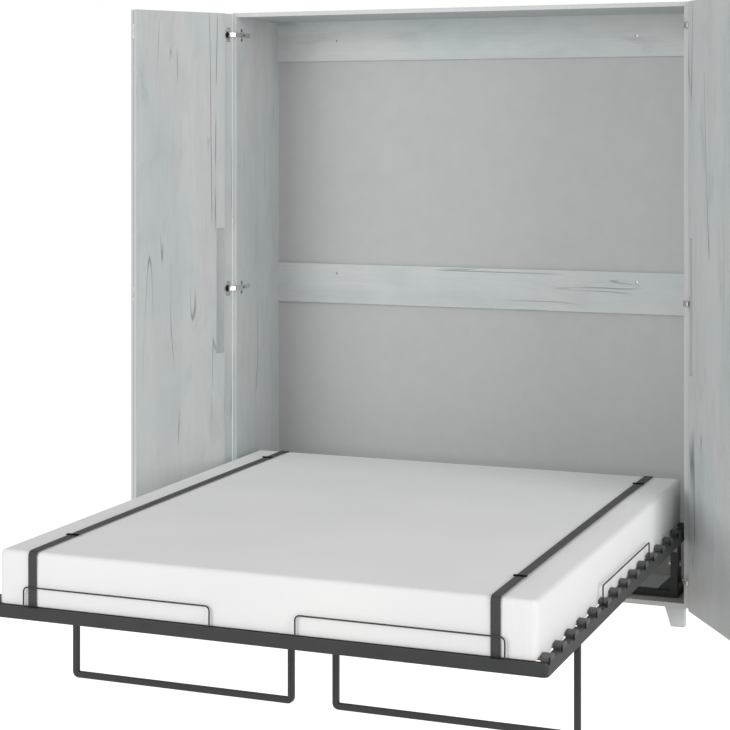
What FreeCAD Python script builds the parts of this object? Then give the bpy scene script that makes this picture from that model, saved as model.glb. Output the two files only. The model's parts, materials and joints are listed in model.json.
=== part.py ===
import FreeCAD, Part
import math
import os

import Sketcher

# Vertical wall bed: a floor-standing cabinet with bi-fold doors, a steel bed frame that swings down from it
# on two pivots low at the front, and two folding legs under the foot end.
#
# Millimetres. +X points right, the front faces -Y and +Z is up. The bed is down, the doors are folded open.
# Every y below is measured from the cabinet's front plane, which stands at dim.front in the part's frame,
# so that the origin lies on the floor at the middle of the whole part.

DIMENSIONS = (
    # the cabinet
    ("front", 717, "y of the cabinet's front plane in the part's frame"),
    ("half_width", 872, "from the middle to a side panel's outer face"),
    ("height", 2200, "floor to the top of the cabinet"),
    ("foot_height", 70, "height of the feet"),
    ("board", 16, "thickness of the laminated board"),
    ("side_depth", 434, "depth of the side, top and bottom panels"),
    ("back", 3, "thickness of the back panel"),
    ("back_seam", 1136, "height where the two back panels meet"),
    ("top_rail_low", 2025, "lower edge of the top back rail"),
    ("mid_rail_low", 1058, "lower edge of the middle back rail"),
    ("mid_rail_high", 1214, "upper edge of the middle back rail"),
    ("wall_hole_x", 600, "wall fixing holes, from the middle"),
    ("wall_hole_low", 1176, "height of the lower wall fixing holes"),
    ("wall_hole_high", 2104, "height of the upper wall fixing holes"),
    ("wall_hole_r", 4.5, "radius of the wall fixing holes"),
    ("foot_top", 70, "width of a foot at the cabinet"),
    ("foot_tip", 48, "width of a foot at the floor"),
    ("foot_depth", 40, "depth of a foot"),
    ("foot_inset", 16, "from the cabinet's outer face to a foot"),
    ("screw_r", 3.5, "radius of a panel screw"),
    ("screw_head", 5, "radius of a panel screw's head"),
    ("screw_deep", 34, "how far a panel screw reaches past the side panel"),
    # the doors
    ("door_gap", 2, "between a door leaf and the cabinet, and between two leaves"),
    ("door_low", 74, "lower edge of the doors"),
    ("door_high", 2197, "upper edge of the doors"),
    ("inner_leaf", 458, "width of the leaf hinged to the cabinet"),
    ("outer_leaf", 408.5, "width of the leaf with the grip"),
    ("door_open", 120, "angle of the open doors"),
    ("hinge_low", 164, "height of the lowest hinges"),
    ("hinge_step", 976, "height from one hinge to the next"),
    ("link_z", 8, "from a hinge's middle to a link's near face"),
    ("link_thick", 2, "thickness of a hinge link"),
    ("flange", 1.2, "thickness of a hinge cup's flange"),
    ("leaf_plate", 0.8, "thickness of a fold hinge's plates"),
    ("cup_x", 22.5, "from a leaf's edge to the middle of a hinge cup"),
    ("cup_r", 17.5, "radius of a hinge cup"),
    ("cup_deep", 12, "depth of a hinge cup"),
    ("grip_low", 897, "lower end of the milled grip"),
    ("grip_high", 1373, "upper end of the milled grip"),
    ("grip_wide", 40, "width of the milled grip"),
    ("grip_deep", 9, "depth of the milled grip"),
    # the stand inside the cabinet
    ("stand_half", 820, "from the middle to a post's outer face"),
    ("tube", 25, "side of the stand's square tube"),
    ("post_y", 70, "front face of the posts"),
    ("post_top", 245, "top of the posts"),
    ("stand_back", 395, "rear end of the stand"),
    ("gusset", 50, "side of a corner gusset"),
    ("gusset_thick", 5, "thickness of a corner gusset"),
    ("pivot_y", 82.5, "depth of the bed's pivot"),
    ("pivot_z", 208, "height of the bed's pivot"),
    ("pivot_r", 6, "radius of a pivot bolt"),
    # the bed frame
    ("bed_half", 850, "from the middle to a side rail's outer face"),
    ("rail_wide", 25, "width of a rail"),
    ("rail_low", 301, "underside of the rails"),
    ("rail_high", 337, "top of the rails"),
    ("foot_reach", 1871, "from the cabinet's front to the foot end"),
    ("head_y", 120, "rear end of the bed frame"),
    ("corner", 16, "corner radius at the foot end"),
    ("beam_half", 20, "half the width of the centre beam"),
    ("slat_count", 15, "rows of slats"),
    ("slat_first", 1851, "from the cabinet's front to the first slat cap"),
    ("slat_pitch", 135.6, "distance between slats"),
    ("slat_wide", 50, "width of a slat"),
    ("slat_thick", 8, "thickness of a slat"),
    ("holder_long", 54, "length of a slat holder along the rail"),
    ("holder_high", 16, "height of a slat holder above the rail"),
    ("holder_wide", 27, "width of a slat holder across the rail"),
    ("slat_end", 18, "from a side rail's outer face to a slat's end"),
    ("cap_half", 7.5, "half the length of a slat cap"),
    ("cap_tall", 10, "half the height of a slat cap"),
    ("cap_thick", 1.6, "thickness of a slat cap"),
    ("plate", 4.5, "thickness of a pivot plate"),
    # the mattress and what holds it
    ("mattress_half", 822, "half the mattress's width"),
    ("mattress_foot", 1860, "from the cabinet's front to the mattress's foot end"),
    ("mattress_long", 2000, "length of the mattress"),
    ("mattress_low", 346.3, "underside of the mattress"),
    ("mattress_thick", 155, "thickness of the mattress"),
    ("mattress_round", 30, "edge radius of the mattress"),
    ("strap_x", 706, "from the middle to a strap's centre line"),
    ("strap_wide", 28, "width of a strap"),
    ("strap_thick", 2, "thickness of a strap"),
    ("buckle_half", 20, "half the width of a strap slide"),
    ("buckle_reach", 9, "half the length of a strap slide"),
    ("buckle_near", 1610, "from the cabinet's front to the near buckles"),
    ("buckle_far", 52, "from the cabinet's front to the far buckles"),
    ("wire_r", 2.3, "radius of a mattress holder's wire"),
    ("wire_top", 399, "height of a mattress holder"),
    ("wire_bend", 14, "bend radius of a foot-end mattress holder"),
    ("side_wire_bend", 8, "bend radius of a side mattress holder"),
    ("wire_inset", 4.5, "from the foot end to a foot holder's wire"),
    ("wire_sunk", 12, "how deep a wire stands in its rail"),
    ("foot_wire_in", 131, "from the middle to a foot holder's inner upright"),
    ("foot_wire_out", 733, "from the middle to a foot holder's outer upright"),
    ("side_wire_near", 1170, "from the cabinet's front to a side holder's near upright"),
    ("side_wire_far", 505, "from the cabinet's front to a side holder's far upright"),
    # the folding legs
    ("leg_y", 1385, "from the cabinet's front to the legs"),
    ("leg_in", 63.6, "from the middle to a leg's inner face"),
    ("leg_out", 822, "from the middle to a leg's outer face"),
    ("leg_half", 9, "half the side of the leg's square tube"),
    ("leg_bend", 10.5, "bend radius of the leg tube's middle line"),
    ("leg_pivot", 305, "height of the legs' hinge pins"),
    ("leg_pin_r", 4, "radius of a leg's hinge pin"),
    # the gas springs
    ("spring_x", 836, "from the middle to a gas spring"),
    ("spring_back_y", 372, "depth of a gas spring's rear pin"),
    ("spring_back_z", 100, "height of a gas spring's rear pin"),
    ("spring_front_y", 102.5, "depth of a gas spring's front end"),
    ("spring_front_z", 148, "height of a gas spring's front end"),
    ("cylinder_r", 9, "radius of a gas spring's cylinder"),
    ("cylinder_long", 165, "from the rear pin to the cylinder's front end"),
    ("rod_r", 4, "radius of a gas spring's rod"),
    ("slack", 0.06, "radial clearance of a turning fit"),
)

SIDES = (("left", -1), ("right", 1))
AXIS_X = FreeCAD.Vector(1, 0, 0)
AXIS_Y = FreeCAD.Vector(0, 1, 0)
AXIS_Z = FreeCAD.Vector(0, 0, 1)
ALONG_X = FreeCAD.Rotation(AXIS_Z, AXIS_X)
ALONG_Y = FreeCAD.Rotation(AXIS_Z, AXIS_Y)

doc = FreeCAD.newDocument("murphy_wall_bed")
sheet = doc.addObject("Spreadsheet::Sheet", "dim")
for row, (alias, value, note) in enumerate(DIMENSIONS, start=1):
    sheet.set(f"A{row}", note)
    sheet.set(f"B{row}", str(value))
    sheet.setAlias(f"B{row}", alias)
doc.recompute()

NODES = {}


# ---------------------------------------------------------------------------------------------- helpers


def number(expression):
    """The value of an expression over the sheet's names."""
    return float(sheet.evalExpression(str(expression)))


def node(name, thing):
    """Makes a finished object the sub-part of that name."""
    thing.Label = name
    NODES[name] = thing
    return thing


def bind(thing, **sizes):
    """Binds properties of an object to expressions over the sheet."""
    for key, expression in sizes.items():
        thing.setExpression(key, str(expression))


def put(thing, x, y, z):
    """Places an object, with y measured from the cabinet's front plane."""
    thing.setExpression(".Placement.Base.x", f"{x}")
    thing.setExpression(".Placement.Base.y", f"dim.front + ({y})")
    thing.setExpression(".Placement.Base.z", f"{z}")
    return thing


def span(sign, low, high):
    """A range of x on the right-hand side, or its mirror image on the left."""
    return (low, high) if sign > 0 else (f"-({high})", f"-({low})")


def box(name, x, y, z):
    """A box between two values on each axis."""
    made = doc.addObject("Part::Box", name)
    bind(made, Length=f"({x[1]})-({x[0]})", Width=f"({y[1]})-({y[0]})", Height=f"({z[1]})-({z[0]})")
    return put(made, x[0], y[0], z[0])


def rod_x(name, radius, x, y, z):
    """A cylinder along X."""
    made = doc.addObject("Part::Cylinder", name)
    bind(made, Radius=radius, Height=f"({x[1]})-({x[0]})")
    made.Placement.Rotation = ALONG_X
    return put(made, x[0], y, z)


def rod_y(name, radius, x, y, z):
    """A cylinder along Y."""
    made = doc.addObject("Part::Cylinder", name)
    bind(made, Radius=radius, Height=f"({y[1]})-({y[0]})")
    made.Placement.Rotation = ALONG_Y
    return put(made, x, y[0], z)


def join(name, *pieces):
    """Pieces fused into one."""
    made = doc.addObject("Part::MultiFuse", name)
    made.Shapes = list(pieces)
    made.Refine = True
    return made


def group(name, pieces):
    """Separate pieces kept together."""
    made = doc.addObject("Part::Compound", name)
    made.Links = list(pieces)
    return made


def cut(name, base, *tools):
    """A base with tools taken away."""
    made = doc.addObject("Part::Cut", name)
    made.Base = base
    made.Tool = tools[0] if len(tools) == 1 else group(name + "_tools", tools)
    return made


def origin_plane(body, role):
    """One of a body's own origin planes."""
    return next(plane for plane in body.Origin.OriginFeatures if plane.Role == role)


def sketch_on(body, role, name, offset="0"):
    """An empty sketch on a plane parallel to one of the body's origin planes."""
    sketch = body.newObject("Sketcher::SketchObject", name)
    sketch.AttachmentSupport = [(origin_plane(body, role), "")]
    sketch.MapMode = "FlatFace"
    sketch.setExpression(".AttachmentOffset.Base.z", str(offset))
    return sketch


def pin_point(sketch, line, end, x, y):
    """Holds one end of a sketch line at expressions for its two distances from the origin."""
    for kind, expression in (("DistanceX", x), ("DistanceY", y)):
        value = number(expression)
        index = sketch.addConstraint(Sketcher.Constraint(kind, -1, 1, line, end, value))
        sketch.setExpression(f"Constraints[{index}]", str(expression))


def polygon(sketch, points):
    """A closed polygon whose corners are pinned to expressions."""
    at = [FreeCAD.Vector(number(x), number(y), 0) for x, y in points]
    lines = [
        sketch.addGeometry(Part.LineSegment(at[i], at[(i + 1) % len(at)]), False)
        for i in range(len(at))
    ]
    for i, line in enumerate(lines):
        sketch.addConstraint(Sketcher.Constraint("Coincident", line, 2, lines[(i + 1) % len(lines)], 1))
    for line, (x, y) in zip(lines, points):
        pin_point(sketch, line, 1, x, y)
    return sketch


def circle(sketch, x, y, radius):
    """A circle pinned to expressions."""
    made = Part.Circle(FreeCAD.Vector(number(x), number(y), 0), AXIS_Z, number(radius))
    ring = sketch.addGeometry(made, False)
    pin_point(sketch, ring, 3, x, y)
    index = sketch.addConstraint(Sketcher.Constraint("Radius", ring, number(radius)))
    sketch.setExpression(f"Constraints[{index}]", str(radius))


def pad(body, sketch, length):
    """A pad of a sketch, along its plane's normal."""
    made = body.newObject("PartDesign::Pad", sketch.Name + "_pad")
    made.Profile = sketch
    bind(made, Length=length)
    return made


def pocket(body, sketch, length):
    """A pocket cut along the sketch plane's normal. It is checked to have removed something."""
    doc.recompute()
    before = body.Shape.Volume
    made = body.newObject("PartDesign::Pocket", sketch.Name + "_pocket")
    made.Profile = sketch
    made.Reversed = True
    bind(made, Length=length)
    doc.recompute()
    if body.Shape.Volume > before - 1:
        raise RuntimeError(f"{sketch.Name} cuts nothing")
    return made


def plate(name, role, points, thickness):
    """A body padded from one polygon, placed by its caller."""
    body = doc.addObject("PartDesign::Body", name)
    pad(body, polygon(sketch_on(body, role, name + "_outline"), points), thickness)
    return body


def round_edges(body, radius, wanted):
    """Fillets the edges of a body that a test picks."""
    doc.recompute()
    edges = [f"Edge{i}" for i, edge in enumerate(body.Shape.Edges, start=1) if wanted(edge)]
    whole = body.Tip
    made = body.newObject("PartDesign::Fillet", body.Name + "_rounding")
    made.Base = (whole, edges)
    bind(made, Radius=radius)
    return made


def u_bar(name, width, height, bend, half, square):
    """A square or round bar bent to a U in the XZ plane, with the foot of its left upright on the origin."""
    body = doc.addObject("PartDesign::Body", name)
    path = sketch_on(body, "XZ_Plane", name + "_path")
    w, up, r = number(width), number(height), number(bend)
    at = [FreeCAD.Vector(*p, 0) for p in ((0, up), (0, r), (r, 0), (w - r, 0), (w, r), (w, up))]
    first = path.addGeometry(Part.LineSegment(at[0], at[1]), False)
    turn = Part.ArcOfCircle(Part.Circle(FreeCAD.Vector(r, r, 0), AXIS_Z, r), math.pi, 1.5 * math.pi)
    left = path.addGeometry(turn, False)
    low = path.addGeometry(Part.LineSegment(at[2], at[3]), False)
    turn = Part.ArcOfCircle(Part.Circle(FreeCAD.Vector(w - r, r, 0), AXIS_Z, r), 1.5 * math.pi, 2 * math.pi)
    right = path.addGeometry(turn, False)
    last = path.addGeometry(Part.LineSegment(at[4], at[5]), False)
    path.addConstraint(Sketcher.Constraint("Tangent", first, 2, left, 1))
    path.addConstraint(Sketcher.Constraint("Tangent", left, 2, low, 1))
    path.addConstraint(Sketcher.Constraint("Tangent", low, 2, right, 1))
    path.addConstraint(Sketcher.Constraint("Tangent", right, 2, last, 1))
    for arc in (left, right):
        index = path.addConstraint(Sketcher.Constraint("Radius", arc, r))
        path.setExpression(f"Constraints[{index}]", str(bend))
    pin_point(path, first, 1, "0", height)
    pin_point(path, first, 2, "0", bend)
    pin_point(path, last, 1, width, bend)
    pin_point(path, last, 2, width, height)
    section = sketch_on(body, "XY_Plane", name + "_section", height)
    if square:
        low, high = f"-{half}", half
        polygon(section, [(low, low), (high, low), (high, high), (low, high)])
    else:
        circle(section, "0", "0", half)
    doc.recompute()
    pipe = body.newObject("PartDesign::AdditivePipe", name + "_pipe")
    pipe.Profile = section
    pipe.Spine = (path, [])
    doc.recompute()
    return body


# ---------------------------------------------------------------------------------------------- cabinet

INNER = "dim.half_width - dim.board"
FLOOR_TOP = "dim.foot_height + dim.board"
RAIL_FRONT = "dim.side_depth - dim.board"


def panel_screws():
    """Screws through the side panels into the ends of the panels and rails. Their heads are flush."""
    rows = [("top", depth, "dim.height - dim.board / 2") for depth in (60, 220, 370)]
    rows += [("bottom", depth, "dim.foot_height + dim.board / 2") for depth in (60, 220, 370)]
    middle = "dim.side_depth - dim.board / 2"
    rows += [("top_rail", middle, f"dim.top_rail_low + {up}") for up in (35, 120)]
    rows += [("mid_rail", middle, f"dim.mid_rail_low + {up}") for up in (35, 120)]
    screws = []
    for side, sign in SIDES:
        for i, (where, y, z) in enumerate(rows):
            name = f"screw_{side}_{where}_{i}"
            deep = span(sign, f"{INNER} - dim.screw_deep", "dim.half_width")
            flush = span(sign, "dim.half_width - 4", "dim.half_width")
            shank = rod_x(name + "_shank", "dim.screw_r", deep, y, z)
            head = rod_x(name + "_head", "dim.screw_head", flush, y, z)
            screws.append(join(name, shank, head))
    return node("panel_screws", group("screw_set", screws))


def cabinet():
    """Side, top and bottom panels, two back rails, two back panels and the feet."""
    screws = panel_screws()
    depth = ("0", "dim.side_depth")
    inside = (f"-({INNER})", INNER)
    for side, sign in SIDES:
        thick = span(sign, INNER, "dim.half_width")
        board = box(f"side_board_{side}", thick, depth, ("dim.foot_height", "dim.height"))
        node(f"side_panel_{side}", cut(f"side_panel_{side}_drilled", board, screws))
    boards = {
        "top_panel": (depth, ("dim.height - dim.board", "dim.height")),
        "bottom_panel": (depth, ("dim.foot_height", FLOOR_TOP)),
        "back_rail_top": ((RAIL_FRONT, "dim.side_depth"), ("dim.top_rail_low", "dim.height - dim.board")),
        "back_rail_middle": ((RAIL_FRONT, "dim.side_depth"), ("dim.mid_rail_low", "dim.mid_rail_high")),
    }
    wall_holes = [
        rod_y(
            f"wall_hole_{i}",
            "dim.wall_hole_r",
            f"{sign} * dim.wall_hole_x",
            (f"{RAIL_FRONT} - 5", "dim.side_depth + dim.back + 5"),
            height,
        )
        for i, (sign, height) in enumerate(
            (sign, height) for sign in (-1, 1) for height in ("dim.wall_hole_low", "dim.wall_hole_high")
        )
    ]
    drills = group("wall_drills", wall_holes)
    for name, (y, z) in boards.items():
        board = box(name + "_board", inside, y, z)
        tools = (screws, drills) if "rail" in name else (screws,)
        node(name, cut(name + "_drilled", board, *tools))
    wide = ("1 - dim.half_width", "dim.half_width - 1")
    thick = ("dim.side_depth", "dim.side_depth + dim.back")
    for name, z in (
        ("back_panel_lower", ("dim.foot_height + 1", "dim.back_seam")),
        ("back_panel_upper", ("dim.back_seam", "dim.height - 1")),
    ):
        node(name, cut(name + "_drilled", box(name + "_sheet", wide, thick, z), drills))
    feet = []
    for side, sign in SIDES:
        outer = f"{sign} * (dim.half_width - dim.foot_inset)"
        for end, y in (("front", "8 + dim.foot_depth"), ("back", "dim.side_depth - 8")):
            taper = [
                ("0", "0"),
                (f"{-sign} * dim.foot_tip", "0"),
                (f"{-sign} * dim.foot_top", "dim.foot_height"),
                ("0", "dim.foot_height"),
            ]
            foot = plate(f"foot_{end}_{side}", "XZ_Plane", taper, "dim.foot_depth")
            round_edges(foot, "3", lambda edge: abs(edge.tangentAt(edge.FirstParameter).z) > 0.9)
            feet.append(put(foot, outer, y, "0"))
    node("cabinet_feet", group("foot_set", feet))


# ---------------------------------------------------------------------------------------------- doors


def hinge_heights():
    """Heights of the three hinges on each side."""
    return [f"dim.hinge_low + {i} * dim.hinge_step" for i in range(3)]


def door_placement(thing, sign):
    """Turns a leaf about the cabinet's front outer edge, from closed to open."""
    thing.Placement.Rotation = FreeCAD.Rotation(AXIS_Z, sign * number("dim.door_open"))
    return put(thing, f"{sign} * dim.half_width", "-dim.door_gap", "dim.door_low")


def leaf_along(sign, distance):
    """A distance along a leaf from its hinge edge. The right-hand leaf runs to -X when closed."""
    return f"{-sign} * ({distance})"


def inner_leaf(side, sign):
    """The leaf hinged to the cabinet, with its cups on the inner face."""
    body = doc.addObject("PartDesign::Body", f"leaf_inner_{side}")
    far = leaf_along(sign, "dim.inner_leaf")
    tall = "dim.door_high - dim.door_low"
    outline = [("0", "0"), (far, "0"), (far, tall), ("0", tall)]
    pad(body, polygon(sketch_on(body, "XZ_Plane", f"inner_face_{side}"), outline), "dim.board")
    cups = sketch_on(body, "XZ_Plane", f"cup_bores_{side}")
    for z in hinge_heights():
        circle(cups, leaf_along(sign, "dim.cup_x"), f"{z} - dim.door_low", "dim.cup_r")
    pocket(body, cups, "dim.cup_deep")
    node(f"door_inner_{side}", door_placement(body, sign))


def outer_leaf(side, sign):
    """The leaf with the milled grip, folded flat against the inner leaf."""
    body = doc.addObject("PartDesign::Body", f"leaf_outer_{side}")
    near = leaf_along(sign, "dim.inner_leaf - dim.outer_leaf")
    far = leaf_along(sign, "dim.inner_leaf")
    tall = "dim.door_high - dim.door_low"
    outline = [(near, "0"), (far, "0"), (far, tall), (near, tall)]
    sketch = sketch_on(body, "XZ_Plane", f"outer_face_{side}", "-(dim.board + dim.door_gap)")
    pad(body, polygon(sketch, outline), "dim.board")
    edge = "dim.inner_leaf - dim.outer_leaf"
    surface = "dim.board + dim.door_gap"
    cove = [
        ("-1", "1"),
        ("-1", "-0.6 * dim.grip_deep"),
        ("0.7 * dim.grip_wide", "-dim.grip_deep"),
        ("0.86 * dim.grip_wide", "-0.93 * dim.grip_deep"),
        ("0.95 * dim.grip_wide", "-0.7 * dim.grip_deep"),
        ("dim.grip_wide", "1"),
    ]
    points = [(leaf_along(sign, f"{edge} + {x}"), f"{surface} + {y}") for x, y in cove]
    grip = polygon(sketch_on(body, "XY_Plane", f"grip_{side}", "dim.grip_low - dim.door_low"), points)
    pocket(body, grip, "dim.grip_high - dim.grip_low")
    node(f"door_outer_{side}", door_placement(body, sign))


# A hinge link's outline: distance along the leaf from its hinge edge, then height over the leaf's inner face.
LINK = (
    (15, -11.2),
    (28, -11.2),
    (28, 8),
    (20, 14),
    (-0.5, 19.8),
    (-7.1, 18.3),
    (-10.3, 16.3),
    (-8.1, 15.6),
    (-2, 16.6),
    (15, 8),
)
# A cup flange's outline: distance along the leaf, then height from the hinge's middle.
CUP_WINGS = ((11, -29), (34, -29), (34, 29), (11, 29))
FOLD_PLATE = ((-34, -26), (0.4, -26), (0.4, 26), (-34, 26))


def hinge_cups(side, sign):
    """Cups with their flanges and links, fixed in the inner leaf."""
    made = []
    for i, z in enumerate(hinge_heights()):
        name = f"cup_{side}_{i}"
        middle = leaf_along(sign, "dim.cup_x")
        height = f"{z} - dim.door_low"
        body = doc.addObject("PartDesign::Body", name)
        rim = sketch_on(body, "XZ_Plane", name + "_rim", "-dim.flange")
        circle(rim, middle, height, "dim.cup_r - 0.1")
        pad(body, rim, "dim.cup_deep + dim.flange - 0.1")
        flange = sketch_on(body, "XZ_Plane", name + "_flange", "-dim.flange")
        wings = [(leaf_along(sign, x), f"{height} + {up}") for x, up in CUP_WINGS]
        pad(body, polygon(flange, wings), "dim.flange")
        bore = sketch_on(body, "XZ_Plane", name + "_bore", "-dim.flange")
        circle(bore, middle, height, "dim.cup_r - 2")
        pocket(body, bore, "dim.cup_deep")
        links = []
        for j, low in enumerate(("-(dim.link_z + dim.link_thick)", "dim.link_z")):
            points = [(leaf_along(sign, x), y) for x, y in LINK]
            link = doc.addObject("PartDesign::Body", f"{name}_link_{j}")
            outline = sketch_on(link, "XY_Plane", f"{name}_link_{j}_outline", f"{height} + {low}")
            pad(link, polygon(outline, points), "dim.link_thick")
            links.append(link)
        made.append(door_placement(join(name + "_hinge", body, *links), sign))
    node(f"hinge_cups_{side}", group(f"cup_set_{side}", made))


def fold_hinges(side, sign):
    """Knuckle hinges in the gap between the two leaves of a door, as one set on each leaf."""
    leaves = {"inner": [], "outer": []}
    axis = leaf_along(sign, "dim.inner_leaf + 1")
    for i, z in enumerate(hinge_heights()):
        middle = f"{z} - dim.door_low"
        for leaf, near, knuckles, rooms in (
            ("inner", "0", ((-10, 10),), ((-27, -10), (10, 27))),
            ("outer", "dim.door_gap - dim.leaf_plate", ((-26, -10.3), (10.3, 26)), ((-10.3, 10.3),)),
        ):
            name = f"fold_{leaf}_{side}_{i}"
            flange = doc.addObject("PartDesign::Body", name + "_flange")
            points = [(leaf_along(sign, f"dim.inner_leaf + {x}"), f"{middle} + {up}") for x, up in FOLD_PLATE]
            shape = sketch_on(flange, "XZ_Plane", name + "_outline", f"-({near}) - dim.leaf_plate")
            pad(flange, polygon(shape, points), "dim.leaf_plate")
            for j, (low, high) in enumerate(rooms):
                room = sketch_on(flange, "XZ_Plane", f"{name}_room_{j}", f"-({near}) - dim.leaf_plate")
                clear = [
                    (leaf_along(sign, f"dim.inner_leaf + {x}"), f"{middle} + {up}")
                    for x, up in ((-2, low), (2, low), (2, high), (-2, high))
                ]
                polygon(room, clear)
                pocket(flange, room, "dim.leaf_plate")
            barrels = []
            for j, (low, high) in enumerate(knuckles):
                barrel = doc.addObject("PartDesign::Body", f"{name}_knuckle_{j}")
                end = sketch_on(barrel, "XY_Plane", f"{name}_knuckle_{j}_end", f"{middle} + {low}")
                circle(end, axis, "dim.door_gap / 2", "0.95")
                pad(barrel, end, high - low)
                barrels.append(barrel)
            leaves[leaf].append(door_placement(join(name, flange, *barrels), sign))
    for leaf, made in leaves.items():
        node(f"fold_hinges_{leaf}_{side}", group(f"fold_set_{leaf}_{side}", made))


# The layers of a hinge's fixed half: its two distances from the side panel, its ends in y, half its height.
ARM_LAYERS = (
    ("wings", 1.6, 0, 34, 58, 27),
    ("base", 2, 0, 12, 130, 9),
    ("bar", 3.6, 1.5, -3, 80, 7),
)


def hinge_arms(side, sign):
    """Mounting plates with their arms on the side panel's inner face, flat enough for the bed to pass."""
    made = []
    for i, z in enumerate(hinge_heights()):
        name = f"arm_{side}_{i}"
        layers = [
            box(
                f"{name}_{layer}",
                span(sign, f"{INNER} - {far}", f"{INNER} - {near}"),
                (low, high),
                (f"{z} - {half}", f"{z} + {half}"),
            )
            for layer, far, near, low, high, half in ARM_LAYERS
        ]
        made.append(join(name, *layers))
    node(f"hinge_arms_{side}", group(f"arm_set_{side}", made))


# ---------------------------------------------------------------------------------------------- stand


def stand():
    """Square-tube base frame on the bottom panel, with its gussets, pivot bolts and gas spring brackets."""
    post_in = "dim.stand_half - dim.tube"
    across = ("dim.post_y", "dim.post_y + dim.tube")
    low = (FLOOR_TOP, f"{FLOOR_TOP} + dim.tube")
    node("stand_cross_bar", box("cross_bar", (f"-({post_in})", post_in), across, low))
    gussets, bolts, brackets, bars = [], [], [], []
    for side, sign in SIDES:
        post_x = span(sign, post_in, "dim.stand_half")
        post = box(f"post_{side}", post_x, across, (FLOOR_TOP, "dim.post_top"))
        hole_x = span(sign, f"{post_in} - 5", "dim.stand_half + 5")
        hole = rod_x(f"post_hole_{side}", "dim.pivot_r", hole_x, "dim.pivot_y", "dim.pivot_z")
        node(f"stand_post_{side}", cut(f"post_drilled_{side}", post, hole))
        bars.append(box(f"side_bar_{side}", post_x, ("dim.post_y + dim.tube", "dim.stand_back"), low))
        corner = [("0", "0"), (f"{-sign} * dim.gusset", "0"), ("0", "dim.gusset")]
        gusset = plate(f"gusset_{side}", "XZ_Plane", corner, "dim.gusset_thick")
        gussets.append(put(gusset, f"{sign} * ({post_in})", "dim.pivot_y + 2.5", f"{FLOOR_TOP} + dim.tube"))
        shank_x = span(sign, f"{post_in} - 3", "dim.stand_half + 7")
        shank = rod_x(f"bolt_shank_{side}", "dim.pivot_r", shank_x, "dim.pivot_y", "dim.pivot_z")
        head_x = span(sign, f"{post_in} - 6", post_in)
        head = rod_x(f"bolt_head_{side}", "10", head_x, "dim.pivot_y", "dim.pivot_z")
        nut_x = span(sign, "dim.stand_half + dim.plate + 0.9", "dim.stand_half + dim.plate + 4.9")
        nut = rod_x(f"bolt_nut_{side}", "10", nut_x, "dim.pivot_y", "dim.pivot_z")
        bolts.append(join(f"pivot_bolt_{side}", shank, head, nut))
        lug = box(
            f"spring_lug_{side}",
            span(sign, "dim.stand_half", "dim.stand_half + 4"),
            ("dim.spring_back_y - 20", "dim.spring_back_y + 20"),
            (FLOOR_TOP, "dim.spring_back_z + 16"),
        )
        studs = [
            rod_x(f"spring_stud_{side}_{i}", radius, span(sign, *x), "dim.spring_back_y", "dim.spring_back_z")
            for i, (radius, x) in enumerate(
                (
                    ("4", ("dim.stand_half + 2", "dim.spring_x + 7")),
                    ("6", ("dim.stand_half + 3", "dim.spring_x - 5.8")),
                    ("7", ("dim.spring_x + 5.8", "dim.spring_x + 8.8")),
                )
            )
        ]
        brackets.append(join(f"spring_bracket_{side}", lug, *studs))
    node("stand_side_bars", group("side_bar_set", bars))
    node("stand_gussets", group("gusset_set", gussets))
    node("pivot_bolts", group("bolt_set", bolts))
    node("gas_spring_brackets", group("bracket_set", brackets))


# ---------------------------------------------------------------------------------------------- bed frame

RAIL_IN = "dim.bed_half - dim.rail_wide"
RAIL_Z = ("dim.rail_low", "dim.rail_high")
FOOT_IN = "-(dim.foot_reach - dim.rail_wide)"


def slat_y(i, offset="0"):
    """Distance of a point of slat row i from the cabinet's front."""
    return f"{i} * dim.slat_pitch - dim.slat_first + {offset}"


def bed_frame():
    """Side rails, foot rail with rounded corners, head rail, centre beam and the cross tubes at the legs."""
    foot = plate(
        "foot_bar",
        "XY_Plane",
        [
            ("-dim.bed_half", "0"),
            ("dim.bed_half", "0"),
            ("dim.bed_half", "dim.rail_wide"),
            ("-dim.bed_half", "dim.rail_wide"),
        ],
        "dim.rail_high - dim.rail_low",
    )
    round_edges(
        foot,
        "dim.corner",
        lambda edge: abs(edge.tangentAt(edge.FirstParameter).z) > 0.9 and edge.CenterOfMass.y < 1,
    )
    put(foot, "0", "-dim.foot_reach", "dim.rail_low")
    wires = group("rail_wire_drills", foot_wire_drills())
    node("foot_rail", cut("foot_rail_drilled", foot, wires))
    for side, sign in SIDES:
        rail = box(f"side_bar_bed_{side}", span(sign, RAIL_IN, "dim.bed_half"), (FOOT_IN, "dim.head_y"), RAIL_Z)
        drills = [
            drill_z(f"side_wire_drill_{side}_{i}", f"{sign} * (dim.bed_half - dim.rail_wide / 2)", f"-({y})")
            for i, y in enumerate(("dim.side_wire_near", "dim.side_wire_far"))
        ]
        node(f"side_rail_{side}", cut(f"side_rail_drilled_{side}", rail, *drills))
    between = (f"dim.plate - ({RAIL_IN})", f"{RAIL_IN} - dim.plate")
    node("head_rail", box("head_bar", between, ("dim.head_y - dim.rail_wide", "dim.head_y"), RAIL_Z))
    beam = ("-dim.beam_half", "dim.beam_half")
    node("centre_beam", box("beam", beam, (FOOT_IN, "dim.head_y - dim.rail_wide"), RAIL_Z))
    tubes = [
        box(
            f"leg_tube_{side}",
            span(sign, "dim.beam_half", RAIL_IN),
            ("-(dim.leg_y + 40)", "-(dim.leg_y + 15)"),
            ("dim.rail_low", "dim.rail_low + dim.rail_wide"),
        )
        for side, sign in SIDES
    ]
    node("leg_cross_tubes", group("leg_tube_set", tubes))


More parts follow.
